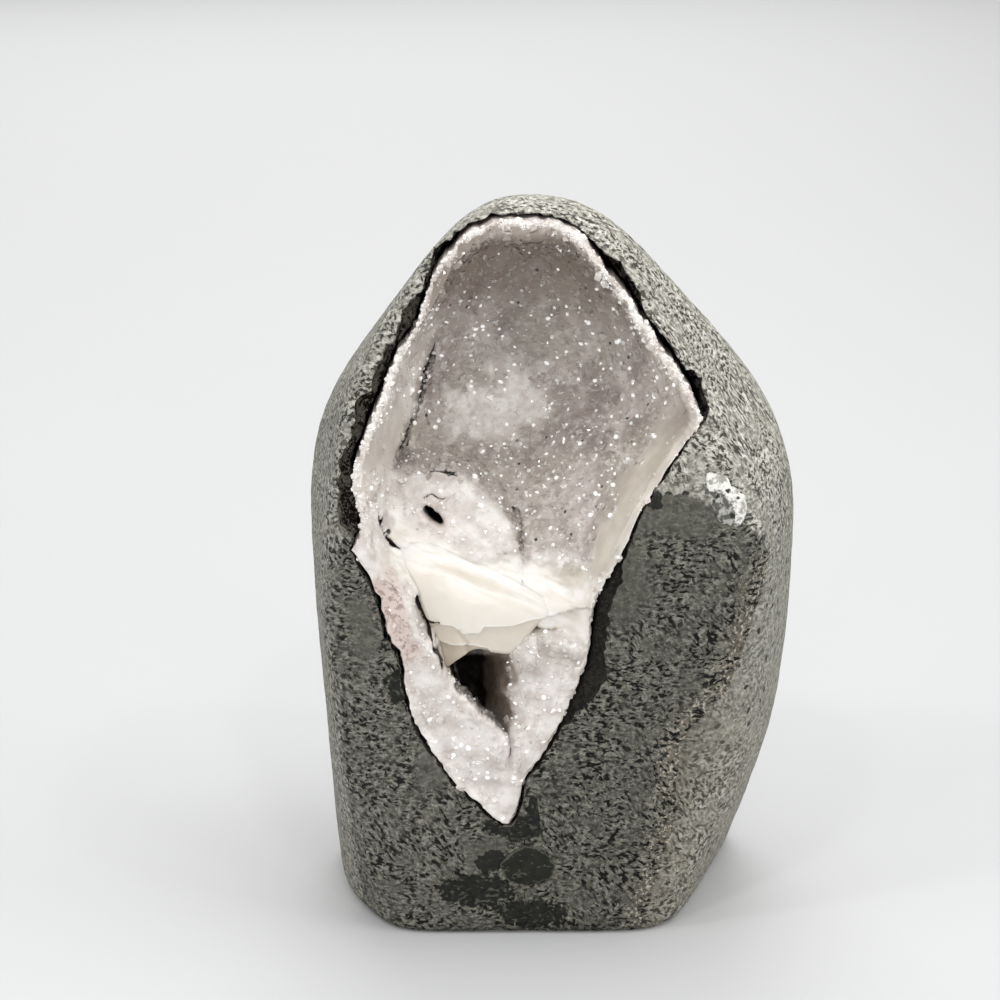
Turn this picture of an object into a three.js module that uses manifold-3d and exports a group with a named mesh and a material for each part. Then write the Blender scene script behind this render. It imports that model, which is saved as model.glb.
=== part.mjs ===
// Apophyllite geode: a grey basalt nodule, ground into soft facets and sawn flat at the base so
// that it stands. Its open vug is lined with a white quartz crust, and a mass of apophyllite
// crystals grown together sits on the sill between the tall upper chamber and the lower pocket.
// Millimetres, +Z up. The open front of the vug faces -Y, and +X is to its right.
import * as THREE from 'three';
import { mergeVertices } from 'three/addons/utils/BufferGeometryUtils.js';
import Module from 'manifold-3d';

// ---- driving dimensions, mm and degrees -------------------------------------------------------

// The stone: each ground facet has a name, an azimuth (0 faces -Y, 90 faces +X), a lean above the
// level, and a reach from the core point to its plane.
const CORE = new THREE.Vector3(-5, 0, 60);
const FACETS = [
  ['front_low', 0, -3, 27.8],
  ['front_up', 0, 21, 28.3],
  ['front_right_low', 34, -8, 41.0],
  ['right_low', 76, -2, 42.0],
  ['right_foot', 72, -21, 48.8],
  ['right_up', 68, 33, 39.9],
  ['right_top', 60, 54, 49.2],
  ['top', 0, 82, 50.9],
  ['left_up', -97, 35, 35.5],
  ['left', -80, 13, 33.8],
  ['left_low', -84, -4, 32.2],
  ['left_foot', -57, -14, 42.7],
  ['back', 172, 3, 24.8],
  ['back_low', 180, -14, 30.6],
  ['back_up', 172, 40, 35.0],
  ['back_right', 125, 2, 34.4],
  ['back_right_up', 122, 40, 39.5],
  ['back_left', -128, 0, 28.2],
  ['back_left_up', -128, 44, 38.7],
];
const EDGE_SHARPNESS = 20;
const STONE_COLUMNS = 72;
const LEVEL_RINGS = 9;
const DOME_RINGS = 15;

// The vug: [height, left edge, right edge, deepest point of the bare basalt], from the lower tip
// to the arch at the top.
const VUG = [
  [18.8, -8.0, -6.9, -23],
  [22.6, -11.9, -5.4, -17],
  [25.6, -15.0, -4.9, -13],
  [30.0, -18.0, -2.2, -8],
  [35.0, -20.8, 0.5, -3],
  [41.0, -22.4, 2.9, 1],
  [46.0, -22.9, 4.6, 4],
  [50.0, -24.8, 5.2, 5.5],
  [55.0, -25.9, 5.8, 7],
  [61.6, -29.0, 9.0, 8.5],
  [63.6, -30.0, 9.9, 9],
  [67.5, -28.7, 11.5, 9.5],
  [73.6, -29.9, 15.3, 9.5],
  [79.0, -28.3, 19.2, 9.5],
  [81.6, -27.2, 21.2, 9],
  [86.0, -25.4, 19.2, 8.5],
  [91.0, -23.2, 15.9, 7],
  [96.0, -20.0, 12.2, 4.5],
  [101.6, -18.0, 7.9, 1.5],
  [106.4, -13.9, 4.2, -2.5],
  [108.7, -9.4, -1.0, -5],
];
// The dark open seam between crust and basalt: [height, width on the left, width on the right].
const SEAM = [
  [60, 0.0, 0.0],
  [65.5, 0.1, 0.0],
  [66.6, 2.5, 0.0],
  [72, 1.8, 0.0],
  [77, 1.2, 0.1],
  [82.6, 1.6, 0.9],
  [86, 1.1, 1.3],
  [92, 1.7, 0.5],
  [96, 2.0, 0.4],
  [99, 0.5, 1.3],
  [102, 0.5, 1.9],
  [104, 1.2, 0.9],
  [106, 1.0, 0.2],
  [108, 0.0, 0.0],
];
const SEAM_DEPTH = 4.5;
const BAY_COLUMNS = 18;
const VUG_SQUARENESS = 2.4;

// The hollow inside the crust: [height, left edge, right edge, deepest point, lean, squareness of
// the left flank, of the right flank]. It runs from the lower pocket, behind the slab on its left,
// past the sill that carries the crystals, to the upper chamber. A lean above 1 moves the deepest
// point to the left.
const HOLLOW = [
  [24.0, -7.0, -5.4, -24.8, 1.0, 4.0, 1.6],
  [27.0, -7.3, -4.6, -22.6, 1.4, 6.0, 1.4],
  [30.0, -7.6, -3.0, -20.0, 1.8, 8.0, 1.2],
  [34.4, -8.9, -0.6, -15.5, 2.1, 8.0, 1.1],
  [37.0, -11.7, 0.6, -12.0, 2.3, 8.0, 1.05],
  [40.4, -15.2, 2.0, -11.5, 2.3, 8.0, 1.05],
  [43.4, -16.5, 2.9, -11.5, 2.3, 8.0, 1.1],
  [44.6, -18.6, 4.0, -17.0, 1.4, 6.0, 1.6],
  [50.0, -20.2, 4.6, -19.8, 1.0, 4.0, 2.0],
  [56.0, -22.0, 5.4, -20.6, 1.0, 3.0, 1.9],
  [60.0, -24.6, 7.0, -17.8, 1.0, 2.4, 1.6],
  [64.0, -27.4, 8.6, -11.8, 1.0, 2.2, 1.4],
  [68.0, -27.6, 10.6, -5.0, 1.0, 2.2, 1.35],
  [72.0, -28.4, 12.9, 0.0, 1.0, 2.2, 1.35],
  [77.0, -27.6, 16.2, 4.0, 1.0, 2.2, 1.45],
  [81.5, -26.2, 19.4, 6.0, 1.0, 2.2, 1.6],
  [86.0, -24.6, 17.4, 6.3, 1.0, 2.2, 1.8],
  [92.0, -21.4, 13.2, 5.0, 1.0, 2.2, 2.0],
  [97.0, -17.9, 9.6, 2.0, 1.0, 2.3, 2.2],
  [102.0, -15.3, 5.6, -2.2, 1.0, 2.4, 2.4],
  [106.2, -10.2, 1.4, -8.0, 1.0, 2.4, 2.4],
];

// The mound of crust on the left of the chamber's floor: [height, left, right, front, back].
const MOUND = [
  [58.0, -26.0, -4.6, -21.4, 6.0],
  [61.0, -27.0, -5.2, -20.6, 6.0],
  [65.0, -28.0, -6.8, -17.7, 6.0],
  [68.5, -28.0, -10.6, -15.2, 6.0],
  [70.6, -25.0, -13.6, -13.6, 6.0],
  [71.4, -22.0, -16.0, -12.8, 4.0],
];

// The crystal mass on the sill: [height, left, right, front, back].
const MASS = [
  [43.4, -16.9, -13.4, -22.6, -15.0],
  [45.8, -17.5, -5.6, -23.4, -14.0],
  [49.0, -18.6, -3.5, -24.2, -13.0],
  [52.2, -19.8, -0.9, -24.6, -12.0],
  [55.5, -20.9, -2.6, -24.2, -12.0],
  [58.6, -22.2, -9.4, -21.8, -12.5],
  [61.8, -22.8, -18.4, -19.4, -14.0],
];
const OVAL_COLUMNS = 20;
const OVAL_SQUARENESS = 3;

// Filled gas bubbles that the grinding cut open: [name, centre, half sizes, colour, roughness].
const AMYGDULES = [
  ['zeolite_amygdule', [24.4, -22.6, 70.4], [3.4, 3.0, 3.4], '#b9b5a8', 0.7],
  ['celadonite_amygdule', [-4.0, -25.0, 11.6], [4.2, 3.0, 3.8], '#2e2f2a', 0.8],
];

const CLEARANCE = 0.3;
const FRONT_PLANE = -45;
const SAW_SIZE = 200;

// ---- shapes -----------------------------------------------------------------------------------

const wasm = await Module();
wasm.setup();

// A closed geometry as a solid that can be joined and cut.
function solidOf(geometry) {
  const bare = geometry.clone();
  bare.deleteAttribute('normal');
  bare.deleteAttribute('uv');
  const merged = mergeVertices(bare, 1e-4);
  return new wasm.Manifold(new wasm.Mesh({
    numProp: 3,
    vertProperties: new Float32Array(merged.attributes.position.array),
    triVerts: new Uint32Array(merged.index.array),
  }));
}

// A solid back as a geometry.
function geometryOf(solid) {
  const mesh = solid.getMesh();
  const geometry = new THREE.BufferGeometry();
  geometry.setAttribute('position', new THREE.BufferAttribute(mesh.vertProperties, 3));
  geometry.setIndex(new THREE.BufferAttribute(mesh.triVerts, 1));
  geometry.computeVertexNormals();
  return geometry;
}

// A closed skin over rings of points, with a point at the centre of each end to close it.
function loft(rings) {
  const count = rings[0].length;
  const points = rings.flat();
  const index = [];
  for (let ring = 0; ring < rings.length - 1; ring += 1) {
    for (let column = 0; column < count; column += 1) {
      const next = (column + 1) % count;
      const a = ring * count + column;
      const b = ring * count + next;
      const c = a + count;
      const d = b + count;
      index.push(a, b, d, a, d, c);
    }
  }
  const ends = [rings[0], rings[rings.length - 1]];
  ends.forEach((ring, end) => {
    const centre = new THREE.Vector3();
    ring.forEach((point) => centre.addScaledVector(point, 1 / count));
    const start = end === 0 ? 0 : (rings.length - 1) * count;
    for (let column = 0; column < count; column += 1) {
      const a = start + column;
      const b = start + ((column + 1) % count);
      index.push(...(end === 0 ? [points.length, b, a] : [points.length, a, b]));
    }
    points.push(centre);
  });
  const geometry = new THREE.BufferGeometry().setFromPoints(points);
  geometry.setIndex(index);
  return geometry;
}

// A table's row at any height: its columns follow straight lines between the rows above and below.
function rowAt(table, height) {
  const last = table.length - 1;
  const z = Math.min(Math.max(height, table[0][0]), table[last][0]);
  let upper = 1;
  while (upper < last && table[upper][0] < z) upper += 1;
  const low = table[upper - 1];
  const high = table[upper];
  const share = (z - low[0]) / (high[0] - low[0]);
  return low.map((value, column) => value + (high[column] - value) * share);
}

// How far the stone reaches from the core in a direction: a smooth maximum over the facets, so
// that each facet is nearly flat and the edges between them are softly rounded.
const facetNormals = FACETS.map(([, azimuth, lean]) => {
  const turn = THREE.MathUtils.degToRad(azimuth);
  const rise = THREE.MathUtils.degToRad(lean);
  return new THREE.Vector3(
    Math.sin(turn) * Math.cos(rise),
    -Math.cos(turn) * Math.cos(rise),
    Math.sin(rise),
  );
});

function stoneReach(direction) {
  let sum = 0;
  FACETS.forEach(([, , , reach], facet) => {
    const pull = Math.max(0, facetNormals[facet].dot(direction) / reach);
    sum += pull ** EDGE_SHARPNESS;
  });
  return sum ** (-1 / EDGE_SHARPNESS);
}

// The distance from a point on the level axis through the core to the ground face, in a level
// direction, by halving the interval.
function levelReach(height, turn) {
  const axis = new THREE.Vector3(CORE.x, CORE.y, height);
  const level = new THREE.Vector3(Math.cos(turn), Math.sin(turn), 0);
  let inside = 0;
  let outside = 60;
  for (let step = 0; step < 24; step += 1) {
    const half = (inside + outside) / 2;
    const ray = axis.clone().addScaledVector(level, half).sub(CORE);
    const length = ray.length();
    if (length < stoneReach(ray.divideScalar(length))) inside = half;
    else outside = half;
  }
  return outside;
}

// The ground nodule before the vug: level rings up to the core, then rings of rays over the dome.
// The saw then takes off all that is below the base.
function stoneSolid() {
  const turns = Array.from({ length: STONE_COLUMNS }, (_, column) => (
    (2 * Math.PI * column) / STONE_COLUMNS
  ));
  const rings = [];
  for (let ring = 0; ring <= LEVEL_RINGS; ring += 1) {
    const height = (CORE.z * (ring - 1)) / LEVEL_RINGS;
    rings.push(turns.map((turn) => {
      const reach = levelReach(height, turn);
      return new THREE.Vector3(
        CORE.x + reach * Math.cos(turn),
        CORE.y + reach * Math.sin(turn),
        height,
      );
    }));
  }
  for (let ring = 0; ring < DOME_RINGS; ring += 1) {
    const rise = (Math.PI / 2) * (ring / DOME_RINGS);
    rings.push(turns.map((turn) => {
      const direction = new THREE.Vector3(
        Math.cos(turn) * Math.cos(rise),
        Math.sin(turn) * Math.cos(rise),
        Math.sin(rise),
      );
      return direction.clone().multiplyScalar(stoneReach(direction)).add(CORE);
    }));
  }
  const saw = new THREE.BoxGeometry(SAW_SIZE, SAW_SIZE, SAW_SIZE);
  saw.translate(0, 0, -SAW_SIZE / 2);
  return solidOf(loft(rings)).subtract(solidOf(saw));
}

// Where the ground front lies at a height, in front of the core.
function frontAt(height) {
  return CORE.y - levelReach(height, -Math.PI / 2);
}

// One level outline of a space that opens to the front: straight in from the front plane, then
// round the back on an oval whose left and right flanks have their own squareness. A lean above 1
// moves its deepest point to the left.
function bayOutline(z, left, right, back, lean, squareLeft, squareRight) {
  const front = frontAt(z);
  const points = [new THREE.Vector3(left, FRONT_PLANE, z)];
  for (let column = 0; column <= BAY_COLUMNS; column += 1) {
    const across = (1 - Math.cos((Math.PI * column) / BAY_COLUMNS)) / 2;
    const swing = 2 * across ** (1 / lean) - 1;
    const squareness = swing < 0 ? squareLeft : squareRight;
    const depth = (1 - Math.abs(swing) ** squareness) ** (1 / squareness);
    points.push(new THREE.Vector3(left + (right - left) * across, front + (back - front) * depth, z));
  }
  points.push(new THREE.Vector3(right, FRONT_PLANE, z));
  return points.reverse();
}

// A bay over a whole table of heights, grown by a margin on every side.
function baySolid(table, margin) {
  const rings = table.map(([z, left, right, back, lean = 1, ...squareness]) => {
    const [squareLeft = VUG_SQUARENESS, squareRight = VUG_SQUARENESS] = squareness;
    return bayOutline(z, left - margin, right + margin, back + margin, lean, squareLeft, squareRight);
  });
  const last = rings.length - 1;
  rings[0].forEach((point) => point.setZ(point.z - margin));
  rings[last].forEach((point) => point.setZ(point.z + margin));
  return solidOf(loft(rings));
}

// The open seam round the crust: a shallow bay that is wider than the crust where the seam gapes.
function seamSolid() {
  const heights = [...SEAM, ...VUG].map(([z]) => z).filter((z) => z >= SEAM[0][0]);
  const rings = [...new Set(heights)].sort((a, b) => a - b).map((z) => {
    const [, leftGap, rightGap] = rowAt(SEAM, z);
    const [, left, right] = rowAt(VUG, z);
    const outerLeft = left - CLEARANCE - leftGap;
    const outerRight = right + CLEARANCE + rightGap;
    const floor = frontAt(z) + SEAM_DEPTH;
    return [
      new THREE.Vector3(outerRight, FRONT_PLANE, z),
      new THREE.Vector3(outerRight, floor, z),
      new THREE.Vector3(outerLeft, floor, z),
      new THREE.Vector3(outerLeft, FRONT_PLANE, z),
    ];
  });
  return solidOf(loft(rings));
}

// Squared ovals stacked up over a table of heights, grown by a margin on every side.
function ovalStack(table, margin) {
  const last = table.length - 1;
  const rings = table.map(([height, left, right, front, back], row) => {
    const end = row === 0 ? -margin : row === last ? margin : 0;
    const points = [];
    for (let column = 0; column < OVAL_COLUMNS; column += 1) {
      const turn = (2 * Math.PI * column) / OVAL_COLUMNS;
      const cos = Math.cos(turn);
      const sin = Math.sin(turn);
      const swell = (Math.abs(cos) ** OVAL_SQUARENESS + Math.abs(sin) ** OVAL_SQUARENESS)
        ** (-1 / OVAL_SQUARENESS);
      points.push(new THREE.Vector3(
        (left + right) / 2 + ((right - left) / 2 + margin) * cos * swell,
        (front + back) / 2 + ((back - front) / 2 + margin) * sin * swell,
        height + end,
      ));
    }
    return points;
  });
  return solidOf(loft(rings));
}

function ellipsoidSolid(centre, halfSizes, margin) {
  const geometry = new THREE.SphereGeometry(1, 14, 10);
  geometry.scale(...halfSizes.map((half) => half + margin));
  geometry.translate(...centre);
  return solidOf(geometry);
}

// ---- pieces -----------------------------------------------------------------------------------

const stone = stoneSolid();

function basaltMatrix() {
  let matrix = stone.subtract(baySolid(VUG, CLEARANCE)).subtract(seamSolid());
  AMYGDULES.forEach(([, centre, halfSizes]) => {
    matrix = matrix.subtract(ellipsoidSolid(centre, halfSizes, CLEARANCE));
  });
  return matrix;
}

function quartzLining() {
  const filled = baySolid(VUG, 0).intersect(stone);
  return filled
    .subtract(baySolid(HOLLOW, 0))
    .add(ovalStack(MOUND, 0).intersect(filled))
    .subtract(ovalStack(MASS, CLEARANCE));
}

function finish(color, roughness) {
  return new THREE.MeshStandardMaterial({ color, roughness, metalness: 0 });
}

function piece(name, solid, material) {
  const mesh = new THREE.Mesh(geometryOf(solid), material);
  mesh.name = name;
  return mesh;
}

const geode = new THREE.Group();
geode.add(piece('basalt_matrix', basaltMatrix(), finish('#6b6a60', 0.85)));
geode.add(piece('quartz_lining', quartzLining(), finish('#c9c0bb', 0.5)));
geode.add(piece('apophyllite_mass', ovalStack(MASS, 0), finish('#e9e0cf', 0.35)));
AMYGDULES.forEach(([name, centre, halfSizes, color, roughness]) => {
  const bubble = ellipsoidSolid(centre, halfSizes, 0).intersect(stone);
  geode.add(piece(name, bubble, finish(color, roughness)));
});

// The origin is under the middle of the whole, on the sawn base.
const middle = new THREE.Box3().setFromObject(geode).getCenter(new THREE.Vector3());
geode.position.set(-middle.x, -middle.y, 0);

export default geode;
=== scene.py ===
"""Apophyllite geode: the looks of a ground basalt nodule whose open vug is lined with quartz.

Shapes are worked out in millimetres, in the stone's own frame: +Z up, the open front faces -Y.
They are moved over the origin and turned to metres when they become meshes.
"""

import math

import bpy
import numpy as np
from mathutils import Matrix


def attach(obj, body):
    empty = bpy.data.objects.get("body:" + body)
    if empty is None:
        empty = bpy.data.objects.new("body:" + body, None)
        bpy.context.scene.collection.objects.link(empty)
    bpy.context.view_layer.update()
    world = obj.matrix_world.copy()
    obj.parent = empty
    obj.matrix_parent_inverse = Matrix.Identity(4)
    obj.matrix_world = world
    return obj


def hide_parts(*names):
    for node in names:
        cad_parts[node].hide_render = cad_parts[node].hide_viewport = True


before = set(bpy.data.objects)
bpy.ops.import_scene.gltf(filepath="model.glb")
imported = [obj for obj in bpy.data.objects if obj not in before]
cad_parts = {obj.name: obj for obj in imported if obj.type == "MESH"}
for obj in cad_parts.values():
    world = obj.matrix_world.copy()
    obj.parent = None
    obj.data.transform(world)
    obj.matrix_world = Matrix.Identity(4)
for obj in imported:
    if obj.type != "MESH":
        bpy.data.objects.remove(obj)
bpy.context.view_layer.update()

# ---- driving dimensions, in millimetres and degrees ----

METRE = 0.001
OVER_ORIGIN = np.array([0.155, 0.455, 0.0])
CORE = np.array([-5.0, 0.0, 60.0])

# The stone: each ground facet's azimuth (0 faces -Y, 90 faces +X), lean, reach from the core, and
# how pale it is: paler grinding and painted light from above together, highest on facets facing up.
FACETS = (
    ("front_low", 0, -3, 27.8, 0.0),
    ("front_up", 0, 21, 28.3, 0.62),
    ("front_right_low", 34, -8, 41.0, 0.55),
    ("right_low", 76, -2, 42.0, 0.48),
    ("right_foot", 72, -21, 48.8, 0.42),
    ("right_up", 68, 33, 39.9, 0.80),
    ("right_top", 60, 54, 49.2, 0.95),
    ("top", 0, 82, 50.9, 0.85),
    ("left_up", -97, 35, 35.5, 0.55),
    ("left", -80, 13, 33.8, 0.44),
    ("left_low", -84, -4, 32.9, 0.36),
    ("left_foot", -57, -14, 43.3, 0.32),
    ("back", 172, 3, 24.8, 0.0),
    ("back_low", 180, -14, 30.6, 0.0),
    ("back_up", 172, 40, 35.0, 0.70),
    ("back_right", 125, 2, 34.4, 0.0),
    ("back_right_up", 122, 40, 39.5, 0.80),
    ("back_left", -128, 0, 28.2, 0.0),
    ("back_left_up", -128, 44, 38.7, 0.60),
)
EDGE_SHARPNESS = 20
# Kept above zero where something is divided by a length.
TINY = 1e-9

# The mouth of the vug: height, left edge and right edge of the quartz crust.
MOUTH = (
    (18.8, -8.0, -6.9), (20.4, -9.9, -6.0), (22.6, -11.9, -5.4), (25.6, -15.0, -4.9),
    (30.0, -18.0, -2.2), (35.0, -20.8, 0.5), (41.0, -22.4, 2.9), (46.0, -22.9, 4.6),
    (50.0, -24.8, 5.2), (55.0, -25.9, 5.8), (58.6, -27.4, 7.3), (61.6, -29.0, 9.0),
    (63.6, -30.0, 9.9), (65.6, -28.9, 10.8), (67.5, -28.7, 11.5), (73.6, -29.9, 15.3),
    (79.0, -28.3, 19.2), (81.6, -27.2, 21.2), (86.0, -25.4, 19.2), (91.0, -23.2, 15.9),
    (93.6, -20.8, 14.1), (96.0, -20.0, 12.2), (98.8, -19.0, 10.2), (101.6, -18.0, 7.9),
    (104.3, -16.1, 5.7), (106.4, -13.9, 4.2), (107.6, -12.8, 2.7), (108.3, -11.4, 1.2),
    (108.7, -9.4, -1.0),
)
# The dark open seam between crust and basalt: height, width on the left, width on the right.
SEAM = (
    (35.0, 0.0, 0.1), (38.0, 0.0, 1.4), (40.5, 0.0, 2.8), (43.5, 0.1, 3.0), (48.0, 0.2, 1.9),
    (53.0, 0.1, 1.6), (57.0, 0.1, 1.8), (60.0, 0.0, 0.9), (62.4, 0.0, 0.2), (64.6, 0.1, 0.1),
    (65.6, 0.5, 0.1), (66.4, 2.5, 0.0), (68.5, 2.6, 0.0), (72.0, 1.8, 0.0), (77.0, 1.2, 0.1),
    (80.0, 1.3, 0.4), (82.6, 1.6, 0.9), (86.0, 1.1, 1.3), (89.0, 1.0, 0.6), (92.0, 1.7, 0.5),
    (96.0, 2.0, 0.4), (99.0, 0.5, 1.3), (102.0, 0.5, 1.9), (104.0, 1.2, 0.9), (106.0, 1.0, 0.2),
    (108.3, 0.0, 0.0),
)
CLEARANCE = 0.3
SEAM_DEPTH = 4.5
RIND_DEPTH = 1.1
# The lower pocket: the lip of the slab on its left, and how it runs down as it runs back.
SLAB_LIP = (
    (-18.6, 50.0), (-17.2, 46.0), (-16.7, 44.6), (-16.3, 43.0), (-15.1, 40.4), (-13.4, 38.9),
    (-11.6, 36.9), (-10.0, 35.8), (-8.8, 34.4), (-7.9, 32.2), (-7.4, 29.8), (-7.2, 27.0),
    (-7.0, 24.0), (-7.2, 20.0),
)
POCKET_DROP = 0.38
POCKET_WALL_LEAN = 0.46
CHANNEL_EDGE = -6.2
CHANNEL_DEPTH = 10.0
# The hollow inside the crust: height, left edge, right edge, deepest point, lean of the deepest
# point to the left, and how square its left and right flanks are.
HOLLOW = (
    (20.0, -17.0, 4.0, -17.0, 1.4, 6.0, 1.6),
    (44.6, -18.6, 4.4, -17.0, 1.4, 6.0, 1.6),
    (50.0, -20.2, 5.0, -19.8, 1.0, 4.0, 2.0),
    (56.0, -22.0, 5.7, -20.6, 1.0, 3.0, 1.9),
    (60.0, -24.6, 7.0, -17.8, 1.0, 2.4, 1.6),
    (64.0, -27.4, 8.6, -11.8, 1.0, 2.2, 1.4),
    (68.0, -28.0, 10.6, -5.0, 1.0, 2.2, 1.35),
    (72.0, -28.6, 12.9, 0.0, 1.0, 2.2, 1.35),
    (77.0, -27.8, 16.2, 4.0, 1.0, 2.2, 1.45),
    (81.5, -26.2, 19.4, 6.0, 1.0, 2.2, 1.6),
    (86.0, -24.6, 17.4, 6.3, 1.0, 2.2, 1.8),
    (92.0, -21.4, 13.2, 5.0, 1.0, 2.2, 2.0),
    (97.0, -17.9, 9.6, 2.0, 1.0, 2.3, 2.2),
    (102.0, -15.3, 5.6, -2.2, 1.0, 2.4, 2.4),
    (106.2, -10.2, 1.4, -8.0, 1.0, 2.4, 2.4),
)

# ---- numbers over many points at once ----


def column_at(table, column, heights):
    """A table's column at any height: a cubic between rows whose slope at each row is the
    harmonic mean of its neighbours' slopes, so that it never overshoots a row."""
    rows = np.array(table)
    level, value = rows[:, 0], rows[:, column]
    slope = np.diff(value) / np.diff(level)
    product = slope[1:] * slope[:-1]
    total = np.where(product > 0, slope[1:] + slope[:-1], 1.0)
    inner = np.where(product > 0, 2 * product / total, 0.0)
    tangent = np.concatenate([slope[:1], inner, slope[-1:]])
    z = np.clip(heights, level[0], level[-1])
    row = np.clip(np.searchsorted(level, z) - 1, 0, len(level) - 2)
    span = level[row + 1] - level[row]
    t = (z - level[row]) / span
    start = value[row] * (1 + 2 * t) * (1 - t) ** 2 + span * tangent[row] * t * (1 - t) ** 2
    end = value[row + 1] * t**2 * (3 - 2 * t) + span * tangent[row + 1] * t**2 * (t - 1)
    return start + end


def smooth_step(values, low, high):
    """0 below low, 1 above high, and the S curve 3t^2 - 2t^3 between them."""
    t = np.clip((values - low) / (high - low), 0.0, 1.0)
    return t * t * (3 - 2 * t)


def between(values, rise, full, fall, gone):
    """0 below rise, 1 from full to fall and 0 above gone, along S curves."""
    return smooth_step(values, rise, full) * (1 - smooth_step(values, fall, gone))


def unit(vectors):
    """Vectors scaled to a length of 1."""
    return vectors / np.maximum(np.linalg.norm(vectors, axis=-1, keepdims=True), TINY)


def on_plane(x, z):
    """Places in the upright plane through the core, for noise that follows x and z alone."""
    return np.stack([x, 0 * x, z], axis=-1)


# Large odd numbers that mix a cell's three steps and its seed, and the shifts that stir them.
CELL_FACTORS = (374761393, 668265263, 2246822519)
SEED_FACTOR = 3266489917
STIRS = ((13, 1274126177), (16, 2654435761))
LAST_SHIFT = 15
WORD = 2**32


def lattice_value(cell, seed):
    """A steady pseudo-random number from 0 to 1 for each whole-number cell, by integer hashing."""
    cell = cell.astype(np.int64).astype(np.uint32)
    mixed = np.full(cell.shape[:-1], (seed * SEED_FACTOR) % WORD, np.uint32)
    for axis, factor in enumerate(CELL_FACTORS):
        mixed = mixed + cell[..., axis] * np.uint32(factor)
    for shift, factor in STIRS:
        mixed = (mixed ^ (mixed >> np.uint32(shift))) * np.uint32(factor)
    mixed = mixed ^ (mixed >> np.uint32(LAST_SHIFT))
    return mixed.astype(np.float64) / WORD


def ripple(points, size, seed):
    """Smooth noise from -1 to 1 with lumps of a size: lattice values blended along S curves."""
    place = np.asarray(points) / size
    base = np.floor(place)
    part = place - base
    part = part * part * (3 - 2 * part)
    total = 0.0
    for corner in np.ndindex(2, 2, 2):
        step = np.array(corner)
        weight = np.prod(np.where(step == 1, part, 1 - part), axis=-1)
        total = total + weight * lattice_value(base + step, seed)
    return 2 * total - 1


def rough(points, size, seed, octaves=3):
    """Ripples of halving size and strength, added up."""
    total = 0.0
    for octave in range(octaves):
        total = total + ripple(points, size / 2**octave, seed + octave) / 2**octave
    return total


def grains(points, size, seed):
    """Cellular noise: the distances, in cells, to the nearest and second nearest scattered seed
    points, and the nearest one's own random number."""
    place = np.asarray(points) / size
    base = np.floor(place)
    nearest = np.full(place.shape[:-1], 9.0)
    second = nearest.copy()
    own = np.zeros_like(nearest)
    for corner in np.ndindex(3, 3, 3):
        cell = base + np.array(corner) - 1
        jitter = np.stack([lattice_value(cell, seed + axis) for axis in range(3)], axis=-1)
        gap = np.linalg.norm(cell + jitter - place, axis=-1)
        closer = gap < nearest
        second = np.where(closer, nearest, np.minimum(second, gap))
        own = np.where(closer, lattice_value(cell, seed + 3), own)
        nearest = np.where(closer, gap, nearest)
    return nearest, second, own


def beside(x, z, path):
    """The signed distance from points to an open path in the XZ plane, positive on its left."""
    path = np.array(path, float)
    best = np.full(np.shape(x), 1e9)
    side = np.ones(np.shape(x))
    for start, end in zip(path[:-1], path[1:]):
        run = end - start
        rx, rz = x - start[0], z - start[1]
        t = np.clip((rx * run[0] + rz * run[1]) / (run @ run), 0, 1)
        gap = np.hypot(rx - t * run[0], rz - t * run[1])
        closer = gap < best
        best = np.where(closer, gap, best)
        side = np.where(closer, np.sign(run[0] * rz - run[1] * rx), side)
    return best * side


# ---- the stone's ground surface ----


def facet_planes():
    """Unit normals of the facets, each divided by its reach."""
    planes = []
    for _, azimuth, lean, reach, _ in FACETS:
        turn, rise = math.radians(azimuth), math.radians(lean)
        normal = (
            math.sin(turn) * math.cos(rise),
            -math.cos(turn) * math.cos(rise),
            math.sin(rise),
        )
        planes.append(np.array(normal) / reach)
    return np.array(planes)


PLANES = facet_planes()


def gauge(points):
    """1 on the ground surface, less inside, more outside: the high-power mean of how far each
    point is towards every facet, which rounds the edges between facets softly."""
    toward = np.maximum((points - CORE) @ PLANES.T, 0.0)
    most = toward.max(axis=-1, keepdims=True)
    most = np.where(most > 0, most, TINY)
    return most[..., 0] * ((toward / most) ** EDGE_SHARPNESS).sum(-1) ** (1 / EDGE_SHARPNESS)


def ground_front(x, z):
    """Y of the ground front at each (x, z), by Newton steps from well in front of it."""
    well_ahead, last, step = -60.0, -1.0, 0.01
    newton_steps, longest, flattest = 14, 20, 1e-5
    points = np.stack([x, np.full_like(x, well_ahead), z], axis=-1)
    for _ in range(newton_steps):
        level = gauge(points)
        ahead = points.copy()
        ahead[..., 1] += step
        slope = (gauge(ahead) - level) / step
        slope = np.where(np.abs(slope) < flattest, -flattest, slope)
        points[..., 1] += np.clip((1 - level) / slope, -longest, longest)
        points[..., 1] = np.clip(points[..., 1], well_ahead, last)
    return points[..., 1]


def compass_of(turn):
    """The direction of each turn round the core's front-back axis: its share of X and of Z."""
    return np.stack([np.cos(turn), np.sin(turn)], axis=-1)


def ring_at(reach, y, compass):
    """A ring round the core's front-back axis, with its own reach and depth in each direction."""
    return np.stack([CORE[0] + reach * compass[:, 0], y, CORE[2] + reach * compass[:, 1]], axis=-1)


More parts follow.
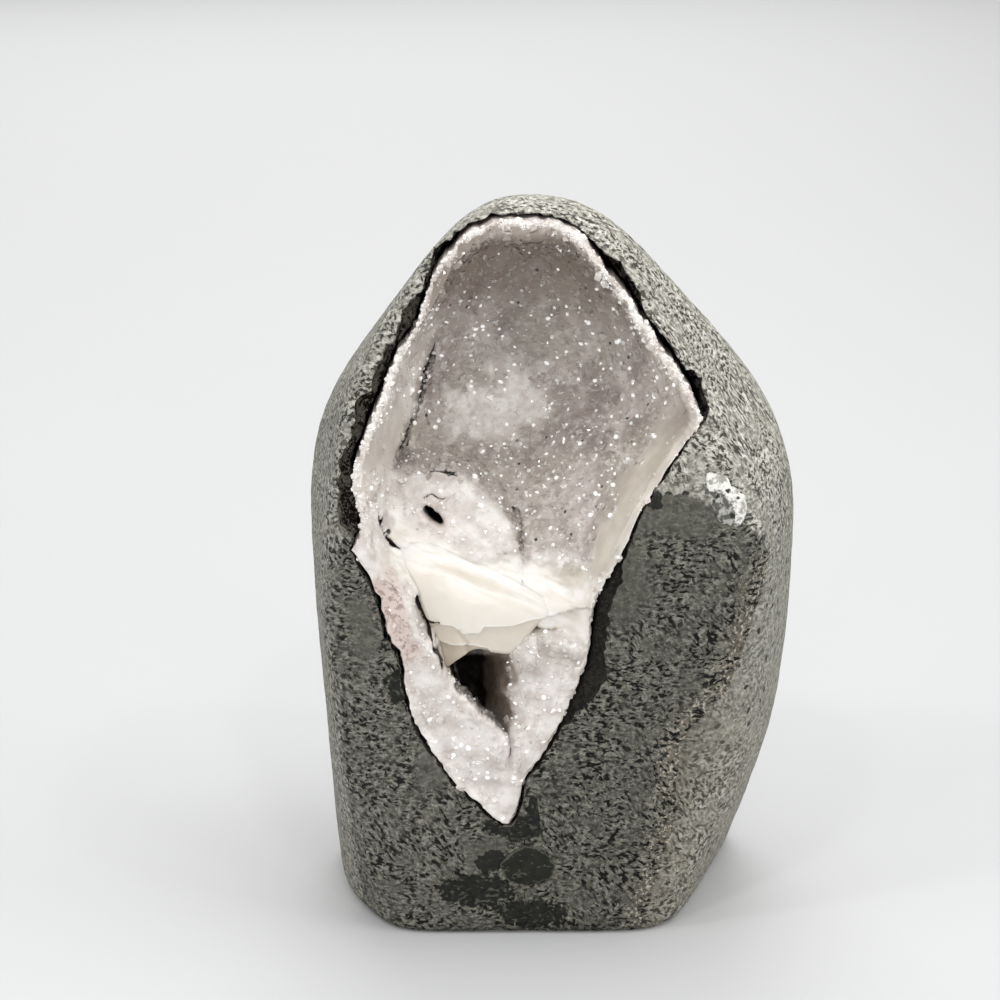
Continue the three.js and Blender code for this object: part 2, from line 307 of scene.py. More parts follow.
def ring_angles(count):
    """Angles round the core's front-back axis, closer together where the mouth or the outer
    outline runs long for its angle."""
    fine_steps, mouth_share = 2881, 0.55
    turn = np.linspace(-np.pi, np.pi, fine_steps)
    mouth = outline_radius(mouth_outline(0.0), turn)
    outer = 1 / gauge(CORE + on_plane(np.cos(turn), np.sin(turn)))
    length = np.zeros_like(turn)
    for radius, share in ((mouth, mouth_share), (outer, 1 - mouth_share)):
        run = np.hypot(np.diff(radius * np.cos(turn)), np.diff(radius * np.sin(turn)))
        total = np.concatenate([[0.0], np.cumsum(run)])
        length += share * total / total[-1]
    return np.interp(np.arange(count) / count, length, turn)


def mouth_outline(seam_share):
    """The mouth's outline in the XZ plane, closed, at the crust's edge (share 0) or at the
    basalt's edge across the clearance and the seam (share 1)."""
    levels = 900
    z = np.linspace(MOUTH[0][0], MOUTH[-1][0], levels)
    left_gap = seam_share * (CLEARANCE + column_at(SEAM, 1, z))
    right_gap = seam_share * (CLEARANCE + column_at(SEAM, 2, z))
    left = np.stack([column_at(MOUTH, 1, z) - left_gap, z], axis=-1)
    right = np.stack([column_at(MOUTH, 2, z) + right_gap, z], axis=-1)
    for flank in (left, right):
        flank[0, 1] -= seam_share * CLEARANCE
        flank[-1, 1] += seam_share * CLEARANCE
    return np.concatenate([left, right[::-1]])


def outline_radius(outline, turn):
    """How far a closed outline lies from the core axis at each angle."""
    arm = outline - CORE[[0, 2]]
    angle = np.arctan2(arm[:, 1], arm[:, 0])
    radius = np.hypot(arm[:, 0], arm[:, 1])
    order = np.argsort(angle)
    return np.interp(turn, angle[order], radius[order], period=2 * np.pi)


# ---- meshes ----


def make_object(name, points, polygons):
    """A mesh object from points in millimetres and a list of equal-sided polygon arrays."""
    places = (points + OVER_ORIGIN) * METRE
    corners = np.concatenate([group.ravel() for group in polygons]).astype(np.int32)
    sizes = np.concatenate([np.full(len(group), group.shape[1]) for group in polygons])
    starts = np.concatenate([[0], np.cumsum(sizes)[:-1]]).astype(np.int32)
    mesh = bpy.data.meshes.new(name)
    mesh.vertices.add(len(places))
    mesh.vertices.foreach_set("co", places.astype(np.float32).ravel())
    mesh.loops.add(len(corners))
    mesh.loops.foreach_set("vertex_index", corners)
    mesh.polygons.add(len(sizes))
    mesh.polygons.foreach_set("loop_start", starts)
    mesh.update(calc_edges=True)
    mesh.validate()
    thing = bpy.data.objects.new(name, mesh)
    bpy.context.scene.collection.objects.link(thing)
    return thing


def skin(name, rings, first, last):
    """A closed, smoothly shaded skin over rings of points, closed at a pole point at each end."""
    count, around = rings.shape[:2]
    points = np.concatenate([rings.reshape(-1, 3), [first], [last]])
    index = np.arange(count * around).reshape(count, around)
    ahead = np.roll(index, -1, axis=1)
    quads = np.stack([index[:-1], ahead[:-1], ahead[1:], index[1:]], axis=-1).reshape(-1, 4)
    cap_first = np.full(around, count * around)
    cap_last = cap_first + 1
    fan_first = np.stack([cap_first, ahead[0], index[0]], axis=-1)
    fan_last = np.stack([cap_last, index[-1], ahead[-1]], axis=-1)
    thing = make_object(name, points, [quads, np.concatenate([fan_first, fan_last])])
    thing.data.polygons.foreach_set("use_smooth", np.ones(len(thing.data.polygons), bool))
    return thing


def store(piece, name, values):
    """Stores a number for each point of a piece, for its finish to read."""
    layer = piece.data.attributes.new(name, "FLOAT", "POINT")
    layer.data.foreach_set("value", values.astype(np.float32))


def mark(skinned, marks):
    """Stores each mark of a skin over rings, with its end poles taking the end rings' mean."""
    for name, ringed in marks.items():
        ends = [ringed[0].mean(), ringed[-1].mean()]
        store(skinned, name, np.concatenate([ringed.ravel(), ends]))


def ring_normals(rings):
    """Unit normals of a ringed surface, from the cross product of its two grid directions."""
    around = np.roll(rings, -1, axis=1) - np.roll(rings, 1, axis=1)
    along = np.gradient(rings, axis=0)
    return unit(np.cross(around, along))


def raised(rings, relief):
    """Rings with each point moved out along the surface's normal by its own relief."""
    return rings + ring_normals(rings) * relief[..., None]


def bowl(swings, power):
    """How the rings that close a shell behind its open side run: the share of its reach that each
    keeps, a cosine raised to a power, and the share of its full depth that it lies at, a sine."""
    return [(np.cos(swing) ** power, np.sin(swing)) for swing in np.array(swings) * np.pi / 2]


def hidden_side(rim, centre, depth, swings, power):
    """Rings that close a piece behind its open side: its rim drawn in to its centre as a bowl."""
    rings = []
    for hold, deep in bowl(swings, power):
        x = centre[0] + hold * (rim[:, 0] - centre[0])
        z = centre[1] + hold * (rim[:, 2] - centre[1])
        rings.append(np.stack([x, rim[:, 1] + depth * deep, z], axis=-1))
    return np.array(rings)


def settle(piece, slot_name, material, *nodes):
    """Gives a finished piece its material and its body, and hides the imported parts that it stands
    for. Its slot name is not used.
    """
    piece.data.materials.append(material)
    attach(piece, "root")
    if nodes:
        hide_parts(*nodes)


# ---- the basalt ----

STONE_TURNS = 460
STONE_OUTER_RINGS = 190
BASE_ROUNDING = 1.6
BACK_OF_VUG = 9.8
# How the seam's wall goes down: its depth at the full seam, and its share of the way to the crust.
SEAM_STEPS = ((0.3, 0.04), (1.2, 0.1), (2.4, 0.18), (3.6, 0.3), (4.4, 0.5), (4.5, 0.9))
# Behind the seam the shell starts this far behind the lip and closes as a flattened bowl.
SHELL_START = 5.5
SHELL_SWINGS = np.linspace(0.12, 0.97, 8)
SHELL_FLATNESS = 0.8
# Heights between which the smooth rind that fills the lower right seam gives out.
RIND_TOP = (60.5, 65.0)
# Heights between which the ground facets turn into the paler upper ones, paler partly by painted
# light.
SHOULDER = (58.0, 64.0)
# Where the dark ground front meets the paler facets: paths up its right and its left side.
PALE_RIGHT = (
    (12.6, -2.0), (14.3, 4.8), (16.1, 10.8), (18.0, 19.1), (18.3, 29.0), (19.2, 33.6),
    (22.4, 37.4), (25.7, 40.6), (28.5, 49.1), (30.4, 55.9), (31.3, 61.2), (30.7, 63.8),
    (27.2, 67.4), (21.3, 70.4), (17.3, 72.3), (14.4, 73.2), (9.0, 75.4),
)
PALE_LEFT = (
    (-29.4, -2.0), (-30.4, 10.9), (-31.7, 26.0), (-32.2, 33.1), (-31.7, 43.0), (-31.9, 52.4),
    (-32.1, 61.8), (-31.6, 65.0), (-29.5, 66.6), (-24.0, 67.2),
)
# Smoother spots in the ground front: centre, half width and half height.
CALM_PATCHES = (
    (17.0, 68.6, 8.0, 3.6),
    (10.4, 58.0, 3.4, 7.0),
    (-28.6, 50.0, 2.0, 6.0),
    (-10.0, 13.5, 3.0, 3.0),
    (-18.5, 29.0, 2.6, 5.0),
)

ZEOLITE_CENTRE = (24.4, 70.4)
ZEOLITE_RADII = (3.2, 2.5, 2.3, 3.3, 4.5, 3.3, 2.3, 2.0, 2.4, 3.5, 4.5, 3.9)
CELADONITE_CENTRE = (-4.0, 11.7)
CELADONITE_RADII = (3.9, 3.5, 3.4, 3.5, 3.3, 3.6, 4.1, 4.0, 3.6, 3.4, 3.4, 3.9)
# Dark green rind patches in the ground front: centre, half width and half height.
RIND_PATCHES = (
    (-6.2, 18.4, 4.8, 2.0),
    (-3.7, 20.9, 1.0, 2.6),
    (-11.6, 7.4, 5.2, 2.5),
    (-3.8, 3.6, 6.0, 2.2),
    (-9.6, 12.6, 2.0, 1.6),
    (-23.4, 42.0, 1.6, 3.2),
    (13.6, 70.6, 2.2, 1.2),
)


def right_of_core(x):
    """1 right of the core, 0 left of it."""
    return smooth_step(x, CORE[0] - 3, CORE[0] + 3)


def smooth_rind(x, z):
    """1 on the lower right of the vug, where smooth dark rind fills the seam."""
    return right_of_core(x) * (1 - smooth_step(z, *RIND_TOP))


def seam_depth(x, z):
    """How deep the seam runs: shallow over the smooth rind, less deep on the left."""
    depth = SEAM_DEPTH + (RIND_DEPTH - SEAM_DEPTH) * smooth_rind(x, z)
    return depth * (0.6 + 0.4 * right_of_core(x))


def basalt_rings():
    """Rings from the back of the stone over its outside to the mouth, down the seam to its floor,
    in to the crust and round behind it. Outside, each ring is a cone of rays from the core."""
    turn = ring_angles(STONE_TURNS)
    compass = compass_of(turn)
    edge = outline_radius(mouth_outline(0.0), turn)
    radius = outline_radius(mouth_outline(1.0), turn)
    chips = on_plane(*(radius * compass.T))
    wide = smooth_step(radius - edge, 0.5, 1.6)
    radius = radius + (0.3 + 0.6 * wide) * np.abs(rough(chips, 2.6, 11))
    radius = radius + (0.12 + 0.2 * wide) * ripple(chips, 0.8, 17)
    x, _, z = ring_at(radius, 0 * turn, compass).T
    lip = ground_front(x, z)
    polar_end = np.arctan2(radius, lip)
    share = (np.arange(STONE_OUTER_RINGS) + 1) / STONE_OUTER_RINGS
    polar = share[:, None] * polar_end
    across, along = np.sin(polar), np.cos(polar)
    direction = np.stack([across * compass[:, 0], along, across * compass[:, 1]], axis=-1)
    outer = CORE + direction / gauge(CORE + direction)[..., None]
    crust = edge + CLEARANCE
    depth = seam_depth(x, z) / SEAM_DEPTH
    walls = [(radius + (crust - radius) * inward, lip + down * depth) for down, inward in SEAM_STEPS]
    walls.append((crust, lip + SEAM_DEPTH + 0.4))
    start = lip + SHELL_START
    for hold, deep in bowl(SHELL_SWINGS, SHELL_FLATNESS):
        walls.append((crust * hold, start + (BACK_OF_VUG - start) * deep))
    return np.concatenate([outer, [ring_at(reach, y, compass) for reach, y in walls]])


def round_outline(radii, turn):
    """The radius of a closed outline at each turn: a periodic cosine blend between even radii."""
    place = np.mod(turn / (2 * np.pi), 1.0) * len(radii)
    base = np.floor(place).astype(int)
    part = 0.5 - 0.5 * np.cos(np.pi * (place - base))
    ring = np.array(radii)
    return ring[base % len(ring)] * (1 - part) + ring[(base + 1) % len(ring)] * part


def within(points, centre, radii):
    """1 deep inside an amygdule's outline and 0 outside, over half a millimetre."""
    dx, dz = points[..., 0] - centre[0], points[..., 2] - centre[1]
    gap = round_outline(radii, np.arctan2(dz, dx)) - np.hypot(dx, dz)
    return smooth_step(gap, -0.35, 0.15) * (points[..., 1] < 0)


def inside_oval(x, z, middle_x, middle_z, width, height):
    """1 in the middle of an oval, 0 on its edge and less outside."""
    return 1 - np.hypot((x - middle_x) / width, (z - middle_z) / height)


def patch_share(points, patches, edge, seed):
    """1 inside any of some ragged ovals on the open front and 0 outside, over a soft edge."""
    ragged, lump, hindmost = 0.8, 3.0, -5.0
    x = points[..., 0] + ragged * rough(points, lump, seed)
    z = points[..., 2] + ragged * rough(points, lump, seed + 4)
    gaps = [inside_oval(x, z, *patch) for patch in patches]
    share = smooth_step(np.maximum.reduce(gaps), -edge, edge)
    return share * (points[..., 1] < hindmost)


def ground_marks(points):
    """What the ground surface is at each place. Edge is how far past the crisp edges of the dark
    front it is, into the paler facets; tone is how pale those are, paler ground and painted light
    from above together, and dim the same of the front.
    Calm is how smooth the front is, quiet the paler ground, which passes unevenly into busy
    ground behind; rusty runs along the front's right edge, and warm is the low right side."""
    x, z = points[..., 0], points[..., 2]
    widest = 3.0
    wobble = 0.35 * rough(points, 2.4, 131)
    right = -beside(x, z, PALE_RIGHT) + wobble
    left = beside(x, z, PALE_LEFT) + wobble
    behind = smooth_step(points[..., 1], -8, -2)
    uneven = behind * 9.0 * rough(points, 14.0, 133)
    low = 1 - smooth_step(z + uneven, SHOULDER[0] - 12 * behind, SHOULDER[1] + 12 * behind)
    upper = np.maximum(smooth_step(z, 22, 36), behind)
    quiet = (0.65 - 0.3 * behind) * low * (0.25 + 0.75 * upper)
    beyond = np.maximum.reduce([right, left, widest * (2 * behind - 1)])
    return {
        "edge": np.clip(beyond, -widest, widest),
        # Paleness of the facets, with painted light from above on the upper ones.
        "tone": facet_paleness_and_light(points),
        "dim": 0.05 * smooth_step(-x, 8, 22),
        "calm": patch_share(points, CALM_PATCHES, 0.4, 71),
        "quiet": quiet * np.maximum(smooth_step(x, 0, 6), behind),
        "rusty": (1 - smooth_step(-right, 1.2, 4.2)) * low,
        "warm": smooth_step(x, 5, 15) * (1 - smooth_step(z + 25 * wobble, 24, 44)) * (1 - behind),
    }


def facet_paleness_and_light(points):
    """How pale the facet at each point is, paler grinding and painted light from above together,
    blended over the edges between facets.
    """
    blend_sharpness = 30
    toward = np.maximum((points - CORE) @ PLANES.T, 0.0)
    weight = (toward / toward.max(axis=-1, keepdims=True)) ** blend_sharpness
    paleness = np.array([facet[-1] for facet in FACETS])
    return (weight * paleness).sum(-1) / weight.sum(-1)


def round_base(rings):
    """Cuts the stone flat at the base and rolls its ground edge: near the base, points move in
    towards the core axis by a quarter circle's offset."""
    full_turn, least_reach = 0.98, 8.0
    rings = rings.copy()
    rings[..., 2] = np.maximum(rings[..., 2], 0.0)
    drop = np.clip(1 - rings[..., 2] / BASE_ROUNDING, 0.0, 1.0)
    offset = BASE_ROUNDING * (1 - np.sqrt(1 - full_turn * drop**2))
    arm = rings[..., :2] - CORE[:2]
    reach = np.linalg.norm(arm, axis=-1, keepdims=True)
    rings[..., :2] = CORE[:2] + arm * (1 - offset[..., None] / np.maximum(reach, least_reach))
    return rings


def build_basalt(material):
    """The ground nodule: its outer skin with slight waviness, sunk under its amygdules and along
    its rind, broken rough inside the seam, and cut flat below."""
    amygdule_bed, rind_hollow = 0.45, 0.12
    rings = basalt_rings()
    relief = 0.10 * ripple(rings, 9.0, 3) + 0.05 * ripple(rings, 3.0, 5)
    relief = relief + 0.05 * ripple(rings, 1.3, 7)
    flush = within(rings, ZEOLITE_CENTRE, ZEOLITE_RADII)
    flush = flush + within(rings, CELADONITE_CENTRE, CELADONITE_RADII)
    rind = patch_share(rings, RIND_PATCHES, 0.35, 71)
    broken = np.zeros(rings.shape[:-1])
    broken[STONE_OUTER_RINGS:] = 1.0
    shatter = 0.3 * ripple(rings, 1.6, 9) + 0.25 * ripple(rings, 0.8, 10)
    shatter = shatter * (1 - 0.8 * smooth_rind(rings[..., 0], rings[..., 2]))
    sunk = relief + amygdule_bed * flush + rind_hollow * rind * (1 - broken) + broken * shatter
    rings = round_base(raised(rings, -sunk))
    backward = np.array([0.0, 1.0, 0.0])
    first = CORE + backward / gauge(CORE + backward)
    last = np.array([CORE[0], BACK_OF_VUG, CORE[2]])
    stone = skin("basalt_matrix_fine", rings, first, last)
    marks = {"broken": broken, "rind": rind, **ground_marks(rings)}
    marks["ragged"] = 1 - smooth_rind(rings[..., 0], rings[..., 2])
    mark(stone, marks)
    settle(stone, "basalt", material, "basalt_matrix")


# ---- the quartz crust ----

CRUST_TURNS = 540
CRUST_RINGS = 158
BAND_DEPTH = 0.15
# Behind the mouth: how far down each ring of the wall lies, and where the shell's bowl runs.
CRUST_WALL = (4.6, 3.2, 2.0, 1.0, 0.35)
CRUST_BACK = 9.3
CRUST_SHELL_START = 5.2
CRUST_SHELL_SWINGS = np.linspace(0.97, 0.10, 8)
# Rings at the rim over which the relief comes in, and how far the first ring is rolled in.
RIM_RINGS = 4.0
RIM_ROLL = 0.18
# Heights between which the hollow gives way to the pocket, and between which the glaze's foot ends.
POCKET_TOP = (47.6, 50.0)
GLAZE_FOOT = (43.2, 44.0)
CREASE = ((-16.2, 94.0), (-17.3, 89.8), (-20.9, 79.0), (-23.2, 73.6), (-25.4, 67.4))
MOUND_EDGE = (
    (-28.5, 69.0), (-24.5, 70.7), (-21.0, 71.4), (-18.0, 71.5), (-15.0, 71.1), (-12.5, 70.1),
    (-11.0, 69.0), (-9.5, 67.7), (-7.6, 66.2), (-6.3, 64.4), (-5.5, 62.4), (-4.9, 60.4),
    (-4.2, 57.6), (-3.4, 52.0),
)
MOUND_TOP = 71.5
MOUND_BACK = -13.0
MOUND_FRONT = -21.6
MOUND_SLOPE = 0.72
FOLD_HEIGHT = 2.2
# Heights between which the hollow closes under the arch.
ARCH_CLOSING = (103.8, 107.0)
SIDE_CRACK = ((-5.9, 64.0), (-5.4, 62.4), (-4.8, 60.6))
# Narrow cracks in the open side: path, half width and depth.
MASS_CRACK = (
    (-20.7, 54.6), (-20.15, 52.8), (-19.85, 51.2), (-18.95, 49.7), (-18.45, 48.2), (-17.6, 46.0),
    (-17.0, 44.2),
)
LIP_CRACK = ((-26.4, 66.2), (-26.1, 64.2), (-25.2, 62.6), (-24.0, 61.5), (-22.4, 61.0))
MOUND_CRACK = ((-19.9, 67.4), (-18.6, 67.9), (-17.2, 67.3), (-15.8, 67.5), (-14.9, 68.1))
CRACKS = ((MASS_CRACK, 0.21, 1.2), (LIP_CRACK, 0.17, 1.2), (MOUND_CRACK, 0.12, 0.5))
# Half widths beyond which a place counts as far from a crack.
FAR_WIDTHS = 4.0
# Coloured patches of the open side: middle, half width and half height.
CREAM_PATCH = (1.5, 54.0, 8.5, 8.5)
MILKY_PATCH = (-10.8, 75.6, 8.5, 5.6)
MILKY_LEAN = 0.3
NODULES = (-25.0, 64.6, 1.5, 2.6)
HOLE_BLUSH = (-18.0, 65.2, 4.0, 4.0)
RIM_WIDTH = 0.46
LEFT_RIM_WIDTH = 4.2
BENCH_WIDTH = 4.1
# Left of this the pocket's channel is painted black, as shade.
BLACK_EDGE = -9.2
# Pits in the open side: centre, half sizes along and across, turn in degrees, and depth.
PITS = (
    ((-18.2, 65.3), 1.5, 0.62, -34, 4.5),
    ((-3.6, 105.0), 1.5, 0.45, 10, 1.2),
    ((-3.3, 49.4), 0.8, 0.5, 40, 3.0),
    ((-26.0, 64.9), 0.42, 0.24, 70, 0.8),
    ((-24.9, 63.4), 0.34, 0.2, -20, 0.7),
)


def hollow_depth(x, z):
    """How far the hollow is sunk at each (x, z), from 0 at its edge to 1 at its deepest line:
    a squared oval across each level, with its own squareness on the left and right flank."""
    left = column_at(HOLLOW, 1, z)
    right = column_at(HOLLOW, 2, z)
    lean = column_at(HOLLOW, 4, z)
    across = np.clip((x - left) / (right - left), 0.0, 1.0)
    swing = 2 * across ** (1 / lean) - 1
    square = np.where(swing < 0, column_at(HOLLOW, 5, z), column_at(HOLLOW, 6, z))
    return (1 - np.abs(swing) ** square) ** (1 / square)


def pocket_depth(x, z):
    """How deep the lower pocket is at each (x, z): a shallow slab left of its lip; right of the
    lip a leaning wall that drops into a channel along the slab."""
    place = on_plane(x, z)
    past_lip = beside(x, z, SLAB_LIP) + 0.45 * rough(place, 2.4, 61) + 0.12 * ripple(place, 0.7, 64)
    from_right = np.maximum(column_at(MOUTH, 2, z) - x - 0.4, 0.0)
    wall = POCKET_WALL_LEAN * from_right * smooth_step(from_right, -0.5, 2.0)
    channel = smooth_step(CHANNEL_EDGE + 0.8 * rough(place, 5.0, 66) - x, 0.0, 5.0)
    wall = wall + CHANNEL_DEPTH * channel * smooth_step(z, 25.0, 36.5)
    slab = 0.7 * smooth_step(x - column_at(MOUTH, 1, z), 0.2, 2.5)
    return slab + (np.maximum(wall, slab) - slab) * smooth_step(past_lip, -0.1, 0.55)


def sheared(x, y, z):
    """Runs the pocket down as it runs back, so that it reaches under the slab's lip."""
    deep = np.maximum(y - ground_front(x, z) - 2.0, 0.0)
    return z - POCKET_DROP * deep * (1 - smooth_step(z, 41.0, 50.0))


def pit_gap(x, z, pit):
    """How far each place is from a pit's middle: 1 on the edge of its turned oval."""
    (px, pz), along, across, turn, _ = pit
    cosine, sine = math.cos(math.radians(turn)), math.sin(math.radians(turn))
    dx, dz = x - px, z - pz
    return np.hypot((dx * cosine + dz * sine) / along, (dz * cosine - dx * sine) / across)


def jagged(x, z):
    """Shifts places by small ripples, so that a smooth path drawn there comes out jagged."""
    place = on_plane(x, z)
    return x + 0.2 * ripple(place, 0.8, 95), z + 0.2 * ripple(place, 0.8, 96)


def past(x, z, path):
    """How far places lie to the right of a path that wanders a little."""
    return 0.35 * rough(on_plane(x, z), 3.5, 51) - beside(x, z, path)


def crack_nearness(x, z):
    """Highest in the middle of a crack or a pit, falling by 1 for each of its half widths."""
    uneven = 0.72 * (1 + 0.6 * ripple(on_plane(x, z), 1.1, 90))
    gaps = [np.abs(beside(*jagged(x, z), path)) / (width * uneven) for path, width, _ in CRACKS]
    gaps = gaps + [pit_gap(x, z, pit) for pit in PITS]
    return FAR_WIDTHS - np.minimum(np.minimum.reduce(gaps), FAR_WIDTHS)


def line_gap(x, z, gap, half_width, uneven, size, seed):
    """A signed gap counted in half widths, up to the far ones, of a line of uneven width."""
    width = half_width * (1 + uneven * ripple(on_plane(x, z), size, seed))
    return np.clip(gap / width, -FAR_WIDTHS, FAR_WIDTHS)


def crust_front(x, z):
    """Y of the crust's open side: the ground front, sunk by the hollow, with the mound, the left
    lip, the lower slab, the cracks and the pits worked into it."""
    ground = ground_front(x, z)
    back = column_at(HOLLOW, 3, z)
    hollow = hollow_depth(x, z) * (1 - smooth_step(z, *ARCH_CLOSING))
    low = 1 - smooth_step(z, *POCKET_TOP)
    y = ground + BAND_DEPTH + (back - ground) * hollow * (1 - low) + pocket_depth(x, z) * low
    y = glazed(x, mounded(x, folded(x, y, z), z), z)
    y = y + groove(past(x, z, SIDE_CRACK), 2.0, 0.35)
    for path, width, depth in CRACKS:
        y = y + groove(beside(*jagged(x, z), path), depth, width + 0.04)
    for pit in PITS:
        y = y + pit[4] * (1 - smooth_step(pit_gap(x, z, pit), 0.7, 1.2))
    return y


def groove(gap, depth, half_width):
    """How deep a bell-shaped groove is at a distance from its middle line."""
    return depth * np.exp(-((gap / half_width) ** 2))


def folded(x, y, z):
    """Raises the chamber's left wall past its fold, fading away from it, and cuts the fold in."""
    crease = past(x, z, CREASE)
    along = between(z, 66.0, 70.5, 82, 89)
    raise_by = FOLD_HEIGHT * smooth_step(crease, -0.2, 0.5) * np.exp(-np.maximum(crease, 0) / 5)
    return y + along * (groove(crease + 0.3, 1.5, 0.33) - raise_by)


def mounded(x, y, z):
    """Fills the left of the chamber's floor with the mound: a slope down to the front that levels
    out at the mass, hollowed a little from side to side, with a rounded edge."""
    top = np.maximum(MOUND_BACK - MOUND_SLOPE * (MOUND_TOP - z), MOUND_FRONT)
    top = top + 0.012 * (x + 16) ** 2
    edge = np.maximum(past(x, z, MOUND_EDGE), 0)
    cover = (1 - np.exp(-edge / 0.35)) * smooth_step(z, 43.5, 46)
    return y + (np.minimum(top, y) - y) * cover


def glaze_share(x, z):
    """Where the crust runs smooth and streaked round the top of the apophyllite mass."""
    over = z - column_at(MASS_BROW, 1, x) + 0.9 * rough(on_plane(x, z), 3.0, 57)
    side = between(x, -26.5, -23.5, 2.0, 7.0)
    start = np.where(x > -4, -4.5, -2.5)
    return side * smooth_step(over - start, 0, 1.5) * (1 - smooth_step(over, 4.0, 7.0))


def glazed(x, y, z):
    """Draws the crust up to just behind the mass's open side where it is glazed, and keeps it
    well behind the mass inside the mass's outline."""
    just_behind, well_behind = 0.08, 1.3
    face = mass_front(x, z)
    y = y + glaze_share(x, z) * (face + just_behind - y)
    under = smooth_step(beside(x, z, MASS_OUTLINE + MASS_OUTLINE[:1]), 0.1, 0.9)
    under = under * smooth_step(z, *GLAZE_FOOT)
    return y + under * np.maximum(face + well_behind - y, 0.0)


def crust_relief(points, wax):
    """Relief along the normal: broad swells, lumps, and druse grains as rounded cells that fade
    where the crust is smooth chalcedony."""
    swell = 0.45 * ripple(points, 7.0, 21) + 0.36 * ripple(points, 2.8, 22)
    swell = swell + 0.12 * ripple(points, 1.2, 24)
    nearest, _, own = grains(points, 2.1, 31)
    lumpy = 1 + 0.9 * (1 - smooth_step(points[..., 2], 46, 52))
    druse = lumpy * (0.09 * (0.6 - nearest) + 0.06 * own)
    return swell * (1 - 0.4 * wax) + druse * (1 - 0.6 * wax)


class CrustPlaces:
    """Places on the crust's open side: how deep they lie, how far they are from the mouth's edges,
    the fold and the mound's edge, and the blotches and flecks that their colours follow."""

    def __init__(self, x, y, z, rim_gap):
        self.x, self.z, self.rim_gap = x, z, rim_gap
        self.depth = y - ground_front(x, z)
        self.from_left = x - column_at(MOUTH, 1, z)
        self.from_right = column_at(MOUTH, 2, z) - x
        self.past_fold = past(x, z, CREASE)
        self.past_mound = past(x, z, MOUND_EDGE)
        self.blotch = rough(on_plane(x, z), 4.0, 81)
        self.fleck = rough(on_plane(x, z), 1.4, 85)


def rim_share(at):
    """1 on the sugary rim, which is wider under the arch and at the upper right."""
    right = smooth_step(at.x, -2, 3) * smooth_step(at.z, 80, 86)
    width = RIM_WIDTH + 0.5 * right + 0.25 * smooth_step(at.z, 102, 106) + 0.3 * at.fleck
    width = width + 0.25 * rough(on_plane(at.x, at.z), 0.9, 87)
    return 1 - smooth_step(at.rim_gap, 0.5 * width, 1.3 * width + 0.4)


def milk_share(at, rim, foot, mound, strip, glaze):
    """How white the crust is: fully on its rim, its glaze and the milky patch of the chamber."""
    cream = smooth_step(inside_oval(at.x, at.z, *CREAM_PATCH) + 0.12 * at.blotch, 0.0, 0.35)
    lean = MILKY_LEAN * (at.z - 74)
    patch = inside_oval(at.x - lean, at.z, *MILKY_PATCH) + 0.35 * at.blotch + 0.3 * at.fleck
    patch = smooth_step(patch, 0.0, 0.55)
    shares = [rim, 0.70 * mound, 0.72 * foot, 0.9 * cream, patch, glaze, 0.8 * strip]
    return np.maximum.reduce(shares)


def brown_and_shade_share(at, rim, foot):
    """How brown and dark the crust is: brown, then black, down the pocket's channel, browner up
    the chamber, among the nodules on the left, and a little round the pocket's mouth. The nodules'
    brown is the crust's own; the rest is painted shade, by depth in the channel and round the mouth
    and towards the arch in the chamber."""
    # Painted shade: brown, then black, where the channel runs deep under the slab's lip.
    brown = smooth_step(CHANNEL_EDGE + 1.2 + 0.9 * at.fleck - at.x, 0.0, 3.0)
    brown = brown * smooth_step(at.depth, 2.0, 4.0)
    black = smooth_step(BLACK_EDGE - at.x, 0.0, 2.4) * smooth_step(at.depth, 3.5, 6.0)
    pocket = 1 - smooth_step(at.z, 49, 51)
    under_lip = pocket * smooth_step(beside(at.x, at.z, SLAB_LIP), 0.45, 0.9)
    umber = np.maximum(0.5 * brown, black) * under_lip
    # Painted shade: browner up the chamber towards the arch.
    umber = umber + 0.40 * smooth_step(at.z, 82, 102) * (1 - rim)
    nodules = smooth_step(inside_oval(at.x, at.z, *NODULES), -0.1, 0.5)
    umber = np.maximum(umber, 0.22 * nodules * smooth_step(at.fleck, -0.6, 0.4))
    # Painted shade: a little brown where the pocket's mouth runs deeper.
    mouth = smooth_step(CHANNEL_EDGE + 5.0 + 0.9 * at.fleck - at.x, 0.0, 4.0) * (1 - 0.5 * foot)
    mouth = mouth * (1 - smooth_step(at.z, 43, 47)) * smooth_step(at.depth, 1.2, 2.6)
    return umber + 0.22 * mouth


def wax_share(at, rim, strip):
    """How smooth and beige the crust is: in blotches on the wall left of the fold, and on the
    uneven bench of chalcedony along the right of the mouth."""
    bench = BENCH_WIDTH + 1.3 * at.blotch + 0.5 * at.fleck - at.from_right
    bench = smooth_step(bench, 0.0, 1.2) * between(at.z, 56, 60, 90, 97)
    bench = bench * (1 - 0.55 * smooth_step(at.z + 2 * at.blotch, 76, 84))
    blotchy = 0.35 + 0.65 * smooth_step(at.blotch - 0.05 * (at.z - 78), -0.7, 0.5)
    return np.maximum(0.6 * strip * blotchy, bench) * (1 - 0.6 * rim)


